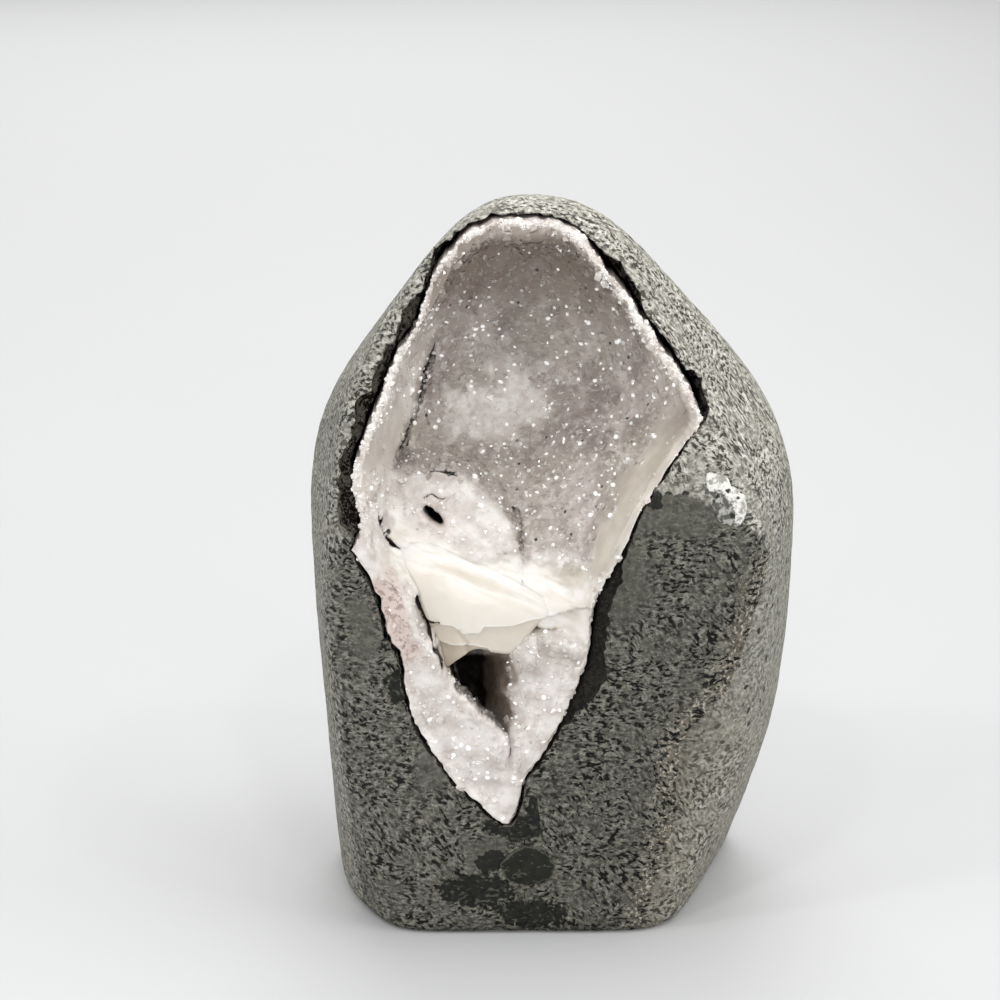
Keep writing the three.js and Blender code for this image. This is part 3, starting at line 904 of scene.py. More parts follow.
def crust_marks(x, y, z, rim_gap):
    """What the crust is at each place of its open side. Milk is how white it is, wax how smooth
    and beige, the brown mark how brown it is, together with painted shade in the depths and under
    the arch, blush how pink, and bare how free of crystals."""
    at = CrustPlaces(x, y, z, rim_gap)
    rim = rim_share(at)
    foot = 1 - smooth_step(z + 1.5 * at.blotch, 42, 46)
    mound = smooth_step(at.past_mound + 0.3 * at.fleck, 0.25, 0.9) * smooth_step(z, 42, 46)
    strip = smooth_step(at.past_fold, 0.3, 1.2) * between(z, 68, 71, 90, 95)
    glaze = glaze_share(x, z)
    left_rim = smooth_step(LEFT_RIM_WIDTH - at.from_left, 0.0, 1.0)
    near_hole = smooth_step(inside_oval(x, z, *HOLE_BLUSH), 0.0, 0.625)
    smooth_mound = 0.65 * mound * smooth_step(z, 48, 52)
    marks = {
        "milk": milk_share(at, rim, foot, mound, strip, glaze),
        "wax": wax_share(at, rim, strip),
        "umber": brown_and_shade_share(at, rim, foot),
        "blush": np.maximum(left_rim * between(z, 44, 48, 57, 61), 0.3 * near_hole),
    }
    marks = {name: np.clip(share, 0, 1) for name, share in marks.items()}
    marks["glaze"] = glaze
    marks["bare"] = np.maximum(left_rim * between(z, 45, 49, 66, 70), smooth_mound)
    marks["rim"] = rim
    marks["crack"] = crack_nearness(x, z)
    # Painted shadow lines: just past the fold and just behind the mound's lip.
    marks["fold_gap"] = line_gap(x, z, at.past_fold + 0.25, 0.08, 0.8, 1.5, 89)
    marks["fold"] = between(z, 71.0, 72.5, 86.0, 89.0)
    marks["lip_gap"] = line_gap(x, z, at.past_mound - 0.8, 0.07, 0.6, 1.2, 88)
    marks["lip"] = 1 - smooth_step(np.abs(x + 16.4), 2.2, 3.0)
    return marks


def crust_shell(radius, compass):
    """Rings from behind, round the closing bowl and along the outer wall to the mouth."""
    x, _, z = ring_at(radius, 0 * radius, compass).T
    lip = ground_front(x, z)
    start = lip + CRUST_SHELL_START
    shell = [
        ring_at(radius * hold, start + (CRUST_BACK - start) * deep, compass)
        for hold, deep in bowl(CRUST_SHELL_SWINGS, SHELL_FLATNESS)
    ]
    return np.array(shell + [ring_at(radius, lip + down, compass) for down in CRUST_WALL])


def build_crust(material):
    """The quartz crust: one closed shell. Its rings run from behind, round the outer wall to the
    mouth, and from the mouth over the open side to its middle. Returns its open side."""
    turn = ring_angles(CRUST_TURNS)
    compass = compass_of(turn)
    radius = outline_radius(mouth_outline(0.0), turn)
    rim = on_plane(*(radius * compass.T))
    radius = radius - 0.42 * np.abs(rough(rim, 2.1, 41)) - 0.14 * ripple(rim, 0.7, 45)
    shell = crust_shell(radius, compass)
    share = np.linspace(0.0, 1.0, CRUST_RINGS + 1)[:-1]
    inward = share * (0.55 + 0.45 * share)
    reach = radius * (1 - inward[:, None])
    reach[0] = radius - RIM_ROLL
    x = CORE[0] + reach * compass[:, 0]
    z = CORE[2] + reach * compass[:, 1]
    y = crust_front(x, z)
    marks = crust_marks(x, y, z, radius - reach)
    front = np.stack([x, y, sheared(x, y, z)], axis=-1)
    smooth = np.maximum(marks["wax"], marks["glaze"])
    front = raised(front, crust_relief(front, smooth) * from_rim(CRUST_RINGS))
    rings = np.concatenate([shell, front])
    first = np.array([CORE[0], CRUST_BACK, CORE[2]])
    crust = skin("quartz_lining_fine", rings, first, front[-1].mean(axis=0))
    hidden = np.zeros((len(shell), CRUST_TURNS))
    mark(crust, {name: np.concatenate([hidden, values]) for name, values in marks.items()})
    settle(crust, "quartz_druse", material, "quartz_lining")
    return front, marks


def from_rim(count):
    """0 on the first ring of the open side, rising evenly to 1 over the rings at the rim."""
    return np.minimum(np.arange(count) / RIM_RINGS, 1.0)[:, None]


# ---- druse crystals ----

GIRDLE_TURNS = np.arange(6) * np.pi / 3
BEAD_TURNS = np.arange(8) * np.pi / 4
# Added to a cluster's seed for the draw of its sizes.
SIZE_SEED = 50


def scatter(front, marks, keep, count, seed):
    """Places, normals and marks over a ringed surface: even steps of its area times keep, each
    with a random offset inside its own quad."""
    random = np.random.default_rng(seed)
    corner = front[:-1]
    around = np.roll(corner, -1, axis=1)
    below = front[1:]
    across = np.cross(around - corner, below - corner)
    area = np.linalg.norm(across, axis=-1)
    weight = np.cumsum((area * keep[:-1]).ravel())
    picks = (np.arange(count) + random.random(count)) / count * weight[-1]
    quad = np.minimum(np.searchsorted(weight, picks), len(weight) - 1)
    u, v = random.random((2, count, 1))
    base = corner.reshape(-1, 3)[quad]
    along = around.reshape(-1, 3)[quad] - base
    down = below.reshape(-1, 3)[quad] - base
    normal = unit(across).reshape(-1, 3)[quad]
    own = {name: values[:-1].ravel()[quad] for name, values in marks.items()}
    return base + u * along + v * down, normal, own


def flat_ring(axis, side, turns, squash=1.0):
    """A ring of directions square to each axis, squashed across its side direction."""
    other = np.cross(axis, side)
    flat = side[:, None] * np.cos(turns)[:, None]
    return flat + squash * other[:, None] * np.sin(turns)[:, None]


def repeated(name, points, faces, layers):
    """One mesh of many like shapes: the points of each, the faces of one, and a number for each
    shape in each layer."""
    count, corners = points.shape[:2]
    base = np.arange(count)[:, None, None] * corners
    polygons = [(base + group).reshape(-1, group.shape[1]) for group in faces]
    cluster = make_object(name, points.reshape(-1, 3), polygons)
    for layer_name, values in layers.items():
        store(cluster, layer_name, np.repeat(values, corners))
    return cluster


def crystal_cluster(name, places, normals, own, sizes, seed):
    """Quartz points: six-sided double pyramids, each with a tip out along its leaning axis, a
    sunk tip, and a girdle whose corners step up and down by turns."""
    random = np.random.default_rng(seed)
    count = len(places)
    lean, girdle_step, girdle_sink = 0.34, 0.12, 0.3
    least_tall, more_tall = 0.16, 0.6
    axis = unit(normals + random.normal(0.0, lean, (count, 3)))
    side = unit(np.cross(axis, random.normal(0.0, 1.0, (count, 3))))
    width = sizes[:, None]
    tall = width * (least_tall + more_tall * random.random((count, 1)) ** 3)
    step = np.where(np.arange(6) % 2 == 0, girdle_step, -girdle_step)[:, None]
    girdle = flat_ring(axis, side, GIRDLE_TURNS) + axis[:, None] * (step - girdle_sink)
    girdle = places[:, None] + width[:, None] * girdle
    tip = places + axis * tall
    root = places - axis * width
    points = np.concatenate([girdle, tip[:, None], root[:, None]], axis=1)
    ring = np.arange(6)
    upper = np.stack([ring, (ring + 1) % 6, np.full(6, 6)], axis=-1)
    lower = np.stack([(ring + 1) % 6, ring, np.full(6, 7)], axis=-1)
    layers = {**own, "own": random.random(count)}
    cluster = repeated(name, points, [np.concatenate([upper, lower])], layers)
    cluster.data.polygons.foreach_set("use_smooth", np.zeros(len(cluster.data.polygons), bool))
    return cluster


def bead_cluster(name, places, normals, own, sizes, seed):
    """Rounded clear quartz grains, mostly longer across than upward: a girdle and a smaller upper
    ring of eight, closed by a blunt tip out along the leaning axis and a sunk tip."""
    random = np.random.default_rng(seed)
    count = len(places)
    lean, side_lean, proud, flattest = 0.3, 0.5, 0.3, 0.55
    girdle_up, shoulder, tip_up, root_down = 0.1, 0.62, 0.82, 0.9
    axis = unit(normals + random.normal(0.0, lean, (count, 3)))
    upright = (0.0, 0.0, 1.0)
    side = unit(np.cross(axis, upright + random.normal(0.0, side_lean, (count, 3))))
    middle = (places + axis * sizes[:, None] * proud)[:, None]
    squash = (flattest + (1 - flattest) * random.random(count))[:, None, None]
    flat = flat_ring(axis, side, BEAD_TURNS, squash)
    width = sizes[:, None, None]
    up = axis[:, None] * squash
    girdle = middle + width * (flat + girdle_up * up)
    upper = middle + width * shoulder * (flat + up)
    tip = middle + width * tip_up * up
    root = middle - width * root_down * up
    points = np.concatenate([girdle, upper, tip, root], axis=1)
    ring = np.arange(8)
    after = (ring + 1) % 8
    belt = np.stack([ring, after, after + 8, ring + 8], axis=-1)
    cap = np.stack([ring + 8, after + 8, np.full(8, 16)], axis=-1)
    foot = np.stack([after, ring, np.full(8, 17)], axis=-1)
    layers = {"own": random.random(count), "milk": own["milk"]}
    return repeated(name, points, [belt, np.concatenate([cap, foot])], layers)


def druse_shares(front, marks):
    """How thickly the crystals stand over the open side: in the chamber, in the pocket, on the
    smooth ground between them, and along the rim. Chalcedony and the glaze stay bare."""
    x, z = front[..., 0], front[..., 2]
    waxy = smooth_step(marks["wax"], 0.25, 0.6)
    dull = 1 - smooth_step(marks["glaze"], 0.1, 0.5)
    clear = 1 - smooth_step(np.maximum(marks["umber"], marks["crack"] / 6), 0.38, 0.5)
    grain = (1 - 0.9 * waxy) * dull * clear * (1 - 0.9 * marks["bare"]) * from_rim(len(front))
    upper = smooth_step(z, 66, 70)
    chamber = grain * upper * (1 - 0.5 * smooth_step(marks["milk"], 0.9, 1.0))
    off_lip = smooth_step(np.abs(beside(x, z, SLAB_LIP)), 0.4, 1.1)
    pocket = grain * (1 - upper) * np.where(z < 50, off_lip, 1.0)
    well_in = smooth_step(np.arange(len(front)) / 10.0, 0.6, 1.4)[:, None]
    still = well_in * clear * (1 - waxy) * dull
    right_rim = smooth_step(x, -2, 3) * (1 - smooth_step(z, 76, 82))
    edging = smooth_step(marks["rim"], 0.2, 0.8) * smooth_step(z, 62, 70) * clear
    return chamber, pocket, still, edging * (1 - 0.9 * right_rim)


def build_druse(front, marks, material, glint_material):
    """Quartz over the open side of the crust, in the chamber and in the lower pocket: leaning
    points, and clear rounded grains among them, painted white and glowing as glints."""
    chamber, pocket, still, edging = druse_shares(front, marks)
    few = 0.1 * still
    low = 1 - 0.9 * smooth_step(front[..., 2], 92, 98)
    points = (crystal_cluster, material)
    beads = (bead_cluster, glint_material)
    for name, keep, count, least, most, (shape, finish), seed in (
        ("chamber_points", chamber, 2100, 0.42, 1.0, points, 5),
        ("pocket_points", pocket, 700, 0.40, 0.95, points, 6),
        ("rim_points", edging, 1400, 0.24, 0.55, points, 9),
        ("chamber_grains", (chamber + few) * low, 380, 0.26, 0.52, beads, 7),
        ("pocket_grains", pocket + few, 190, 0.24, 0.46, beads, 8),
    ):
        places, normals, own = scatter(front, marks, keep, count, seed)
        share = np.random.default_rng(seed + SIZE_SEED).random(count) ** 2.0
        sizes = least + (most - least) * share
        settle(shape(name, places, normals, own, sizes, seed), "quartz_druse", finish)


# ---- the apophyllite mass ----

MASS_TURNS = 300
MASS_RINGS = 110
MASS_CENTRE = (-9.5, 53.0)
MASS_OUTLINE = (
    (-23.2, 60.5), (-21.6, 57.2), (-20.5, 54.4), (-19.7, 51.6), (-18.4, 48.4), (-17.3, 45.0),
    (-16.6, 42.5), (-14.6, 43.9), (-12.2, 45.6), (-9.6, 45.4), (-6.6, 45.3), (-4.7, 46.9),
    (-3.5, 49.0), (-2.0, 50.6), (-0.8, 52.2), (-1.6, 54.6), (-6.0, 57.0), (-12.0, 59.6),
    (-18.0, 61.8), (-21.6, 62.2),
)
# The brow between the sloping top and the steep face: x, its height, and its front Y.
MASS_BROW = (
    (-25.0, 61.2, -21.2),
    (-20.0, 58.2, -23.0),
    (-15.0, 56.0, -24.2),
    (-9.0, 54.4, -24.6),
    (-3.0, 52.8, -24.4),
    (6.0, 52.6, -23.6),
)
BROW_SOFTNESS = 0.9
TOP_SLOPE = 0.88
FACE_SLOPE = 0.10
# Long ridges run down the top to the right: their slant and how much longer than wide they are.
RIDGE_SLANT = -27
RIDGE_LENGTH = 8.0
# How far the edge rolls over, and how the hidden side closes.
MASS_ROLL = 0.9
MASS_DEPTH = 9.0
MASS_SWINGS = np.linspace(0.95, 0.08, 9)
MASS_FLATNESS = 0.7
# Broken edges on the face, below which it steps back: path and step.
MASS_LEDGES = (
    (
        (
            (-19.2, 50.9), (-17.0, 50.2), (-15.2, 50.1), (-14.0, 48.9), (-11.4, 49.1),
            (-10.7, 50.2), (-6.4, 50.3), (-4.4, 51.1), (-2.0, 51.6),
        ),
        0.7,
    ),
    (((-18.9, 47.6), (-15.5, 46.7), (-12.5, 46.8), (-10.2, 46.4), (-9.0, 44.6)), 0.7),
)
MASS_SPLIT = ((-20.4, 50.4), (-19.2, 49.9), (-18.3, 50.0), (-17.4, 50.4))
LOBE_GROOVE = ((-14.4, 49.2), (-14.1, 48.2), (-13.4, 47.2), (-13.2, 45.6))
LEDGE_WIDTH = 0.16


def closed_curve(corners, count):
    """A smooth closed curve through corners: Catmull-Rom spans, evenly many points in each."""
    ring = np.array(corners, float)
    place = np.arange(count) / count * len(ring)
    base = np.floor(place).astype(int)
    t = (place - base)[:, None]
    before, start, end, after = (ring[(base + shift) % len(ring)] for shift in (-1, 0, 1, 2))
    bend = 2 * before - 5 * start + 4 * end - after
    twist = 3 * start - 3 * end + after - before
    return 0.5 * (2 * start + (end - before) * t + bend * t**2 + twist * t**3)


def mass_front(x, z):
    """Y of the mass's open side: a steep face under the brow, stepped back below its broken
    edges, and a sloping top above it with long ridges running down to the right."""
    place = on_plane(x, z)
    rise = z - column_at(MASS_BROW, 1, x) + 0.5 * ripple(place, 3.5, 91)
    above = BROW_SOFTNESS * np.logaddexp(0, rise / BROW_SOFTNESS)
    below = BROW_SOFTNESS * np.logaddexp(0, -rise / BROW_SOFTNESS)
    y = column_at(MASS_BROW, 2, x) + TOP_SLOPE * above + FACE_SLOPE * below
    slant = math.radians(RIDGE_SLANT)
    run = x * math.cos(slant) + z * math.sin(slant)
    across = z * math.cos(slant) - x * math.sin(slant)
    streak = on_plane(run / RIDGE_LENGTH, across)
    top = smooth_step(rise, -1.0, 1.5)
    y = y - top * (0.28 * rough(streak, 1.7, 93, 2) + 0.10 * ripple(streak, 0.6, 97))
    y = y - (1 - top) * (0.25 * ripple(place, 6.0, 99) + 0.08 * ripple(place, 2.0, 98))
    for path, step in MASS_LEDGES:
        under = 0.12 * ripple(place, 1.6, 96) - beside(x, z, path)
        y = y + step * smooth_step(under, 0.0, 0.22)
    y = y + groove(beside(x, z, MASS_SPLIT), 0.5, 0.2)
    return y + groove(beside(x, z, LOBE_GROOVE), 0.4, 0.35)


def mass_marks(x, z, rough_x):
    """What the mass is at each place: top above the brow, foot below its broken edges, where shade
    is painted, sugar at its right end, ledge highest along the broken edges, where a highlight is
    painted, and crack highest along the split, where shade is painted."""
    over_edges = [beside(x, z, path) for path, _ in MASS_LEDGES]
    under_upper, under_lower = (smooth_step(-gap, -0.1, 0.3) for gap in over_edges)
    ledges = [FAR_WIDTHS - np.abs(gap - LEDGE_WIDTH) / LEDGE_WIDTH for gap in over_edges]
    split = np.abs(beside(x, z, MASS_SPLIT)) / LEDGE_WIDTH
    return {
        "top": smooth_step(z - column_at(MASS_BROW, 1, x), -2.0, 2.0),
        "foot": np.maximum(under_lower, 0.5 * under_upper),
        "sugar": smooth_step(x + rough_x, -2.0, 3.0),
        "ledge": np.maximum.reduce(ledges),
        "crack": FAR_WIDTHS - np.minimum(split, FAR_WIDTHS),
    }


def build_mass(material):
    """The apophyllite mass: a closed pillow over its outline. Rings run from behind out to the
    outline, and over the open side to its middle, rolling over at the edge."""
    outline = closed_curve(MASS_OUTLINE, MASS_TURNS) - np.array(MASS_CENTRE)
    outline = outline * (1 + 0.012 * rough(on_plane(*outline.T), 2.0, 101))[:, None]
    share = np.linspace(1.0, 0.0, MASS_RINGS + 1)[:-1]
    share = share * (2 - share)
    x = MASS_CENTRE[0] + share[:, None] * outline[:, 0]
    z = MASS_CENTRE[1] + share[:, None] * outline[:, 1]
    gap = (1 - share[:, None]) * np.hypot(outline[:, 0], outline[:, 1])
    roll = MASS_ROLL * (1 - np.sqrt(1 - (1 - np.clip(gap / MASS_ROLL, 0, 1)) ** 2))
    roll = roll * (1 - 0.6 * smooth_step(z - column_at(MASS_BROW, 1, x), -1.5, 1.0))
    front = np.stack([x, mass_front(x, z) + roll, z], axis=-1)
    front = raised(front, -0.03 * ripple(front, 1.2, 103))
    rim = np.stack([x[0], front[0, :, 1], z[0]], axis=-1)
    back = hidden_side(rim, MASS_CENTRE, MASS_DEPTH, MASS_SWINGS, MASS_FLATNESS)
    rings = np.concatenate([back, front])
    first = np.array([MASS_CENTRE[0], rim[:, 1].mean() + MASS_DEPTH + 0.2, MASS_CENTRE[1]])
    mass = skin("apophyllite_mass_fine", rings, first, front[-1].mean(axis=0))
    mark(mass, mass_marks(rings[..., 0], rings[..., 2], 0.8 * rough(rings, 3.0, 105)))
    settle(mass, "apophyllite", material, "apophyllite_mass")


# ---- amygdules ----

AMYGDULE_TURNS = 96
AMYGDULE_RINGS = 26
AMYGDULE_DEPTH = 2.5
AMYGDULE_SWINGS = np.linspace(0.9, 0.15, 4)
AMYGDULE_EDGE_DROP = 0.25
# Each filled bubble: its outline, how far it stands proud, and its seed.
ZEOLITE = (ZEOLITE_CENTRE, ZEOLITE_RADII, 0.1, 111)
CELADONITE = (CELADONITE_CENTRE, CELADONITE_RADII, 0.04, 121)


def build_amygdule(mineral, sizes, material):
    """A filled bubble in the ground surface: its open side follows the ground front and stands
    a little proud, and its hidden side is a short bowl."""
    centre, radii, proud, seed = sizes
    node = mineral + "_amygdule"
    turn = np.arange(AMYGDULE_TURNS) / AMYGDULE_TURNS * 2 * np.pi
    compass = compass_of(turn)
    radius = round_outline(radii, turn) * (1 + 0.09 * rough(3 * on_plane(*compass.T), 0.8, seed))
    share = np.linspace(1.0, 0.0, AMYGDULE_RINGS + 1)[:-1, None]
    x = centre[0] + share * radius * compass[:, 0]
    z = centre[1] + share * radius * compass[:, 1]
    y = ground_front(x, z) - proud + (proud + AMYGDULE_EDGE_DROP) * share**8
    front = np.stack([x, y, z], axis=-1)
    crumb = 0.16 * np.abs(rough(front, 1.1, seed + 3)) + 0.05 * ripple(front, 0.4, seed + 7)
    front = raised(front, -5 * proud * crumb)
    back = hidden_side(front[0], centre, AMYGDULE_DEPTH, AMYGDULE_SWINGS, 1.0)
    first = np.array([centre[0], front[0, :, 1].mean() + AMYGDULE_DEPTH + 0.1, centre[1]])
    bubble = skin(node + "_fine", np.concatenate([back, front]), first, front[-1].mean(axis=0))
    hidden = np.ones((len(back), AMYGDULE_TURNS))
    mark(bubble, {"edge": np.concatenate([hidden, np.broadcast_to(share, x.shape)])})
    settle(bubble, mineral, material, node)


# ---- materials ----


class Wire:
    """A socket of a finish, with arithmetic that adds Math nodes."""

    def __init__(self, finish, socket):
        self.finish = finish
        self.socket = socket

    def __add__(self, other):
        return self.finish.maths("ADD", self, other)

    def __sub__(self, other):
        return self.finish.maths("SUBTRACT", self, other)

    def __rsub__(self, other):
        return self.finish.maths("SUBTRACT", other, self)

    def __mul__(self, other):
        return self.finish.maths("MULTIPLY", self, other)

    def __pow__(self, other):
        return self.finish.maths("POWER", self, other)

    __radd__ = __add__
    __rmul__ = __mul__


def pick(sockets, key):
    """A socket by its place, its identifier or its name."""
    if isinstance(key, int):
        return sockets[key]
    for socket in sockets:
        if socket.identifier == key:
            return socket
    return sockets[key]


class Finish:
    """A finish being put together: one material, its shader and the nodes that feed it."""

    def __init__(self, name, constants):
        self.material = bpy.data.materials.new(name)
        self.material.use_nodes = True
        self.nodes = self.material.node_tree.nodes
        self.links = self.material.node_tree.links
        self.shader = self.nodes["Principled BSDF"]
        for key, value in constants.items():
            self.shader.inputs[key].default_value = value

    def node(self, kind, settings, inputs, output=0):
        """Adds a node: settings first, then values or links of its sockets."""
        node = self.nodes.new(kind)
        for key, value in settings.items():
            setattr(node, key, value)
        for key, value in inputs.items():
            self.feed(pick(node.inputs, key), value)
        return Wire(self, pick(node.outputs, output))

    def feed(self, socket, value):
        """Links a wire to a socket, or sets the socket's own value."""
        if isinstance(value, Wire):
            self.links.new(value.socket, socket)
        elif isinstance(value, tuple) and len(value) == 3 and socket.type == "RGBA":
            socket.default_value = (*value, 1)
        else:
            socket.default_value = value

    def maths(self, operation, first, second=0.0):
        """One Math node."""
        return self.node("ShaderNodeMath", {"operation": operation}, {0: first, 1: second})

    def place(self):
        """Object coordinates in millimetres."""
        metres = self.node("ShaderNodeTexCoord", {}, {}, "Object")
        return self.stretch(metres, (1 / METRE, 1 / METRE, 1 / METRE))

    def stretch(self, vector, factors):
        """A vector with each of its three parts multiplied by a factor."""
        settings = {"operation": "MULTIPLY"}
        return self.node("ShaderNodeVectorMath", settings, {0: vector, 1: factors})

    def turned(self, vector, angles):
        """A vector turned by angles in degrees."""
        turn = tuple(math.radians(angle) for angle in angles)
        settings = {"rotation_type": "EULER_XYZ"}
        return self.node("ShaderNodeVectorRotate", settings, {"Vector": vector, "Rotation": turn})

    def warped(self, place, size, reach):
        """A place shifted this way and that by up to a reach, in swirls of a size."""
        swirl = self.node("ShaderNodeTexNoise", {}, {"Vector": place, "Scale": 1 / size}, "Color")
        centred = self.node("ShaderNodeVectorMath", {}, {0: swirl, 1: (-0.5, -0.5, -0.5)})
        shift = self.stretch(centred, (reach, reach, reach))
        return self.node("ShaderNodeVectorMath", {}, {0: place, 1: shift})

    def attribute(self, name):
        """A number stored on the piece's points."""
        return self.node("ShaderNodeAttribute", {"attribute_name": name}, {}, "Fac")

    def noise(self, place, size, detail=2.0, share=0.5):
        """Soft noise from 0 to 1 with lumps of a size in millimetres."""
        inputs = {"Vector": place, "Scale": 1 / size, "Detail": detail, "Roughness": share}
        return self.node("ShaderNodeTexNoise", {}, inputs)

    def cells(self, place, size, output="Distance"):
        """Cellular noise with cells of a size in millimetres."""
        return self.node("ShaderNodeTexVoronoi", {}, {"Vector": place, "Scale": 1 / size}, output)

    def cell_number(self, place, size):
        """A random number from 0 to 1 for each cell."""
        colour = self.cells(place, size, "Color")
        return self.node("ShaderNodeSeparateColor", {}, {"Color": colour})

    def dots(self, place, size, edge, numbers):
        """Round dots with a soft edge, one in each cell whose number is past the given ones."""
        dot = self.band(self.cells(place, size), *edge)
        return dot * self.band(self.cell_number(place, size), *numbers)

    def band(self, value, low, high):
        """The S curve from 0 at low to 1 at high."""
        settings = {"interpolation_type": "SMOOTHSTEP"}
        return self.node("ShaderNodeMapRange", settings, {0: value, 1: low, 2: high})

    def mix(self, share, first, second):
        """Two colours mixed by a share."""
        settings = {"data_type": "RGBA", "clamp_factor": True}
        inputs = {"Factor_Float": share, "A_Color": first, "B_Color": second}
        return self.node("ShaderNodeMix", settings, inputs, "Result_Color")

    def painted(self, colour, *coats):
        """A colour with coats laid over it in turn: the share and the colour of each."""
        for share, paint in coats:
            colour = self.mix(share, colour, paint)
        return colour

    def bump(self, height, distance):
        """A normal from a height in units of a distance in millimetres."""
        inputs = {"Height": height, "Distance": distance * METRE}
        return self.node("ShaderNodeBump", {}, inputs, "Normal")

    def finish(self, wires):
        """Feeds the shader and returns the material."""
        for key, value in wires.items():
            self.feed(self.shader.inputs[key], value)
        return self.material


# How ragged the edges of the ground's paler facets and of its rind are.
EDGE_RAGGEDNESS = 1.0
RIND_RAGGEDNESS = 1.7
# The ground's strokes, and the cream streaks of the mass: size in millimetres, slant in degrees.
STROKE_SIZE = 0.54
STROKE_SLANT = -52
STREAK_SLANT = -25
# Paints, as linear red, green and blue. A pair is mixed from its first to its second.
STONE_DARK = ((0.074, 0.073, 0.060), (0.122, 0.119, 0.099))
STONE_PALE = ((0.27, 0.262, 0.215), (0.55, 0.535, 0.47))
STONE_RIND = ((0.004, 0.005, 0.004), (0.028, 0.030, 0.025))
STONE_FLECKS = ((0.33, 0.32, 0.27), (0.88, 0.86, 0.80))
STONE_PITS = ((0.006, 0.006, 0.005), (0.075, 0.072, 0.060))
STONE_BROKEN = ((0.011, 0.010, 0.008), (0.26, 0.24, 0.205))
STONE_WARM = (0.27, 0.24, 0.18)
STONE_RUSTY = (0.225, 0.207, 0.163)
RUST = (0.25, 0.20, 0.135)
RUST_FLECK = (0.56, 0.51, 0.43)
PEPPER = (0.035, 0.032, 0.026)
DRUSE = ((0.345, 0.292, 0.27), (0.57, 0.51, 0.48))
DRUSE_OLIVE = (0.48, 0.44, 0.38)
DRUSE_SPOT = (0.80, 0.75, 0.71)
PALE_DASH = (0.82, 0.78, 0.74)
DARK_DASH = (0.21, 0.17, 0.155)
MILK = ((0.68, 0.62, 0.575), (0.92, 0.885, 0.85))
BEIGE = ((0.49, 0.435, 0.37), (0.67, 0.62, 0.55))
CREAM_STREAKS = ((0.76, 0.705, 0.62), (0.94, 0.92, 0.875))
BLUSH = (0.68, 0.52, 0.46)
FRECKLE = (0.30, 0.205, 0.18)
# Brown, laid also as painted shade; near black, painted shade deep in the pocket's channel.
UMBER_AND_SHADE = (0.195, 0.15, 0.12)
DEEP_SHADE = (0.012, 0.008, 0.006)
# Painted shade in the cracks, pits and the lines along the fold and the mound's lip.
CRACK_EDGE_SHADE = (0.15, 0.11, 0.085)
CRACK_SHADE = (0.010, 0.007, 0.005)
SPECK = (0.03, 0.026, 0.022)
GRAIN_SHADE = (0.36, 0.30, 0.27)
POINT_WHITE = (0.92, 0.88, 0.85)
# White grains and the glow of some of them: painted glints.
GLINT_WHITE = ((0.97, 0.965, 0.955), (0.88, 0.85, 0.83))
PAINTED_GLOW = ((1.0, 0.99, 0.98), (0.0, 0.0, 0.0))
CREAM = ((0.86, 0.80, 0.715), (0.93, 0.885, 0.82))
# Painted shade of the mass's foot.
FOOT_SHADE = (0.62, 0.54, 0.435)
CREAM_SUGAR = (0.90, 0.83, 0.76)
# A painted highlight along the mass's broken edges, and painted shade in its split.
LEDGE_HIGHLIGHT = (0.97, 0.945, 0.88)
SPLIT_SHADE = (0.05, 0.035, 0.02)
ZEOLITE_WHITE = ((0.36, 0.355, 0.32), (0.84, 0.83, 0.79))
ZEOLITE_GREY = ((0.10, 0.10, 0.085), (0.44, 0.44, 0.41))
ZEOLITE_HOLE = (0.02, 0.019, 0.016)
CELADONITE_DARK = ((0.007, 0.008, 0.006), (0.034, 0.036, 0.028))
CELADONITE_WORN = (0.13, 0.125, 0.10)
CELADONITE_EDGE = (0.16, 0.155, 0.13)
BOARD_WHITE = (0.63, 0.64, 0.645, 1)


class Ground:
    """What the ground stone is at each place: past the dark front's edge or not, how pale, rinded,
    calm and busy, with its coarse and fine grain."""

    def __init__(self, make):
        self.place = make.place()
        ragged = make.noise(self.place, 1.3, 4.0, 0.6) - 0.5
        over = make.band(make.attribute("edge") + EDGE_RAGGEDNESS * ragged, -0.12, 0.12)
        self.over = over
        # Pale: paler grinding and painted light from above on the upper facets.
        self.pale = make.attribute("tone") * over + make.attribute("dim") * (1 - over)
        self.rind = make.band(make.attribute("rind") + RIND_RAGGEDNESS * ragged, 0.38, 0.50)
        self.rusty = make.attribute("rusty") * (1 - over)
        self.mottle = make.noise(self.place, 1.0, 3.0, 0.65)
        self.fine = make.noise(self.place, 0.5, 2.0, 0.6)
        self.warp = make.warped(self.place, 2.4, 1.3)
        self.calm = make.maths("MAXIMUM", make.attribute("calm"), make.attribute("quiet") * over)
        busy = make.band(make.noise(self.place, 3.6, 2.0), 0.34, 0.54) * 0.6 + 0.4
        self.busy = busy * (1 - 0.75 * self.calm) * (1 - 0.6 * self.rind)


def ground_stroke(make, ground):
    """Noise drawn out into short strokes, level in most places and slanted in some."""
    level = make.noise(make.stretch(ground.warp, (0.62, 0.62, 1.1)), STROKE_SIZE, 1.5)
    slanted = make.stretch(make.turned(ground.warp, (0, STROKE_SLANT, 0)), (0.5, 1.0, 1.1))
    slanted = make.noise(slanted, STROKE_SIZE, 1.5)
    sweep = make.band(make.noise(ground.place, 12.0) + ground.pale * 0.1, 0.5, 0.60)
    return level * (1 - sweep) + slanted * sweep


def ground_scratch(make, ground):
    """Thin scratches, where a drawn-out noise passes its middle."""
    ridge = make.noise(make.stretch(ground.warp, (0.6, 0.6, 1.2)), 1.3, 1.0)
    ridge = make.maths("ABSOLUTE", ridge - 0.5)
    return make.band(ridge, 0.034, 0.008) * ground.busy * (1 - ground.rind)


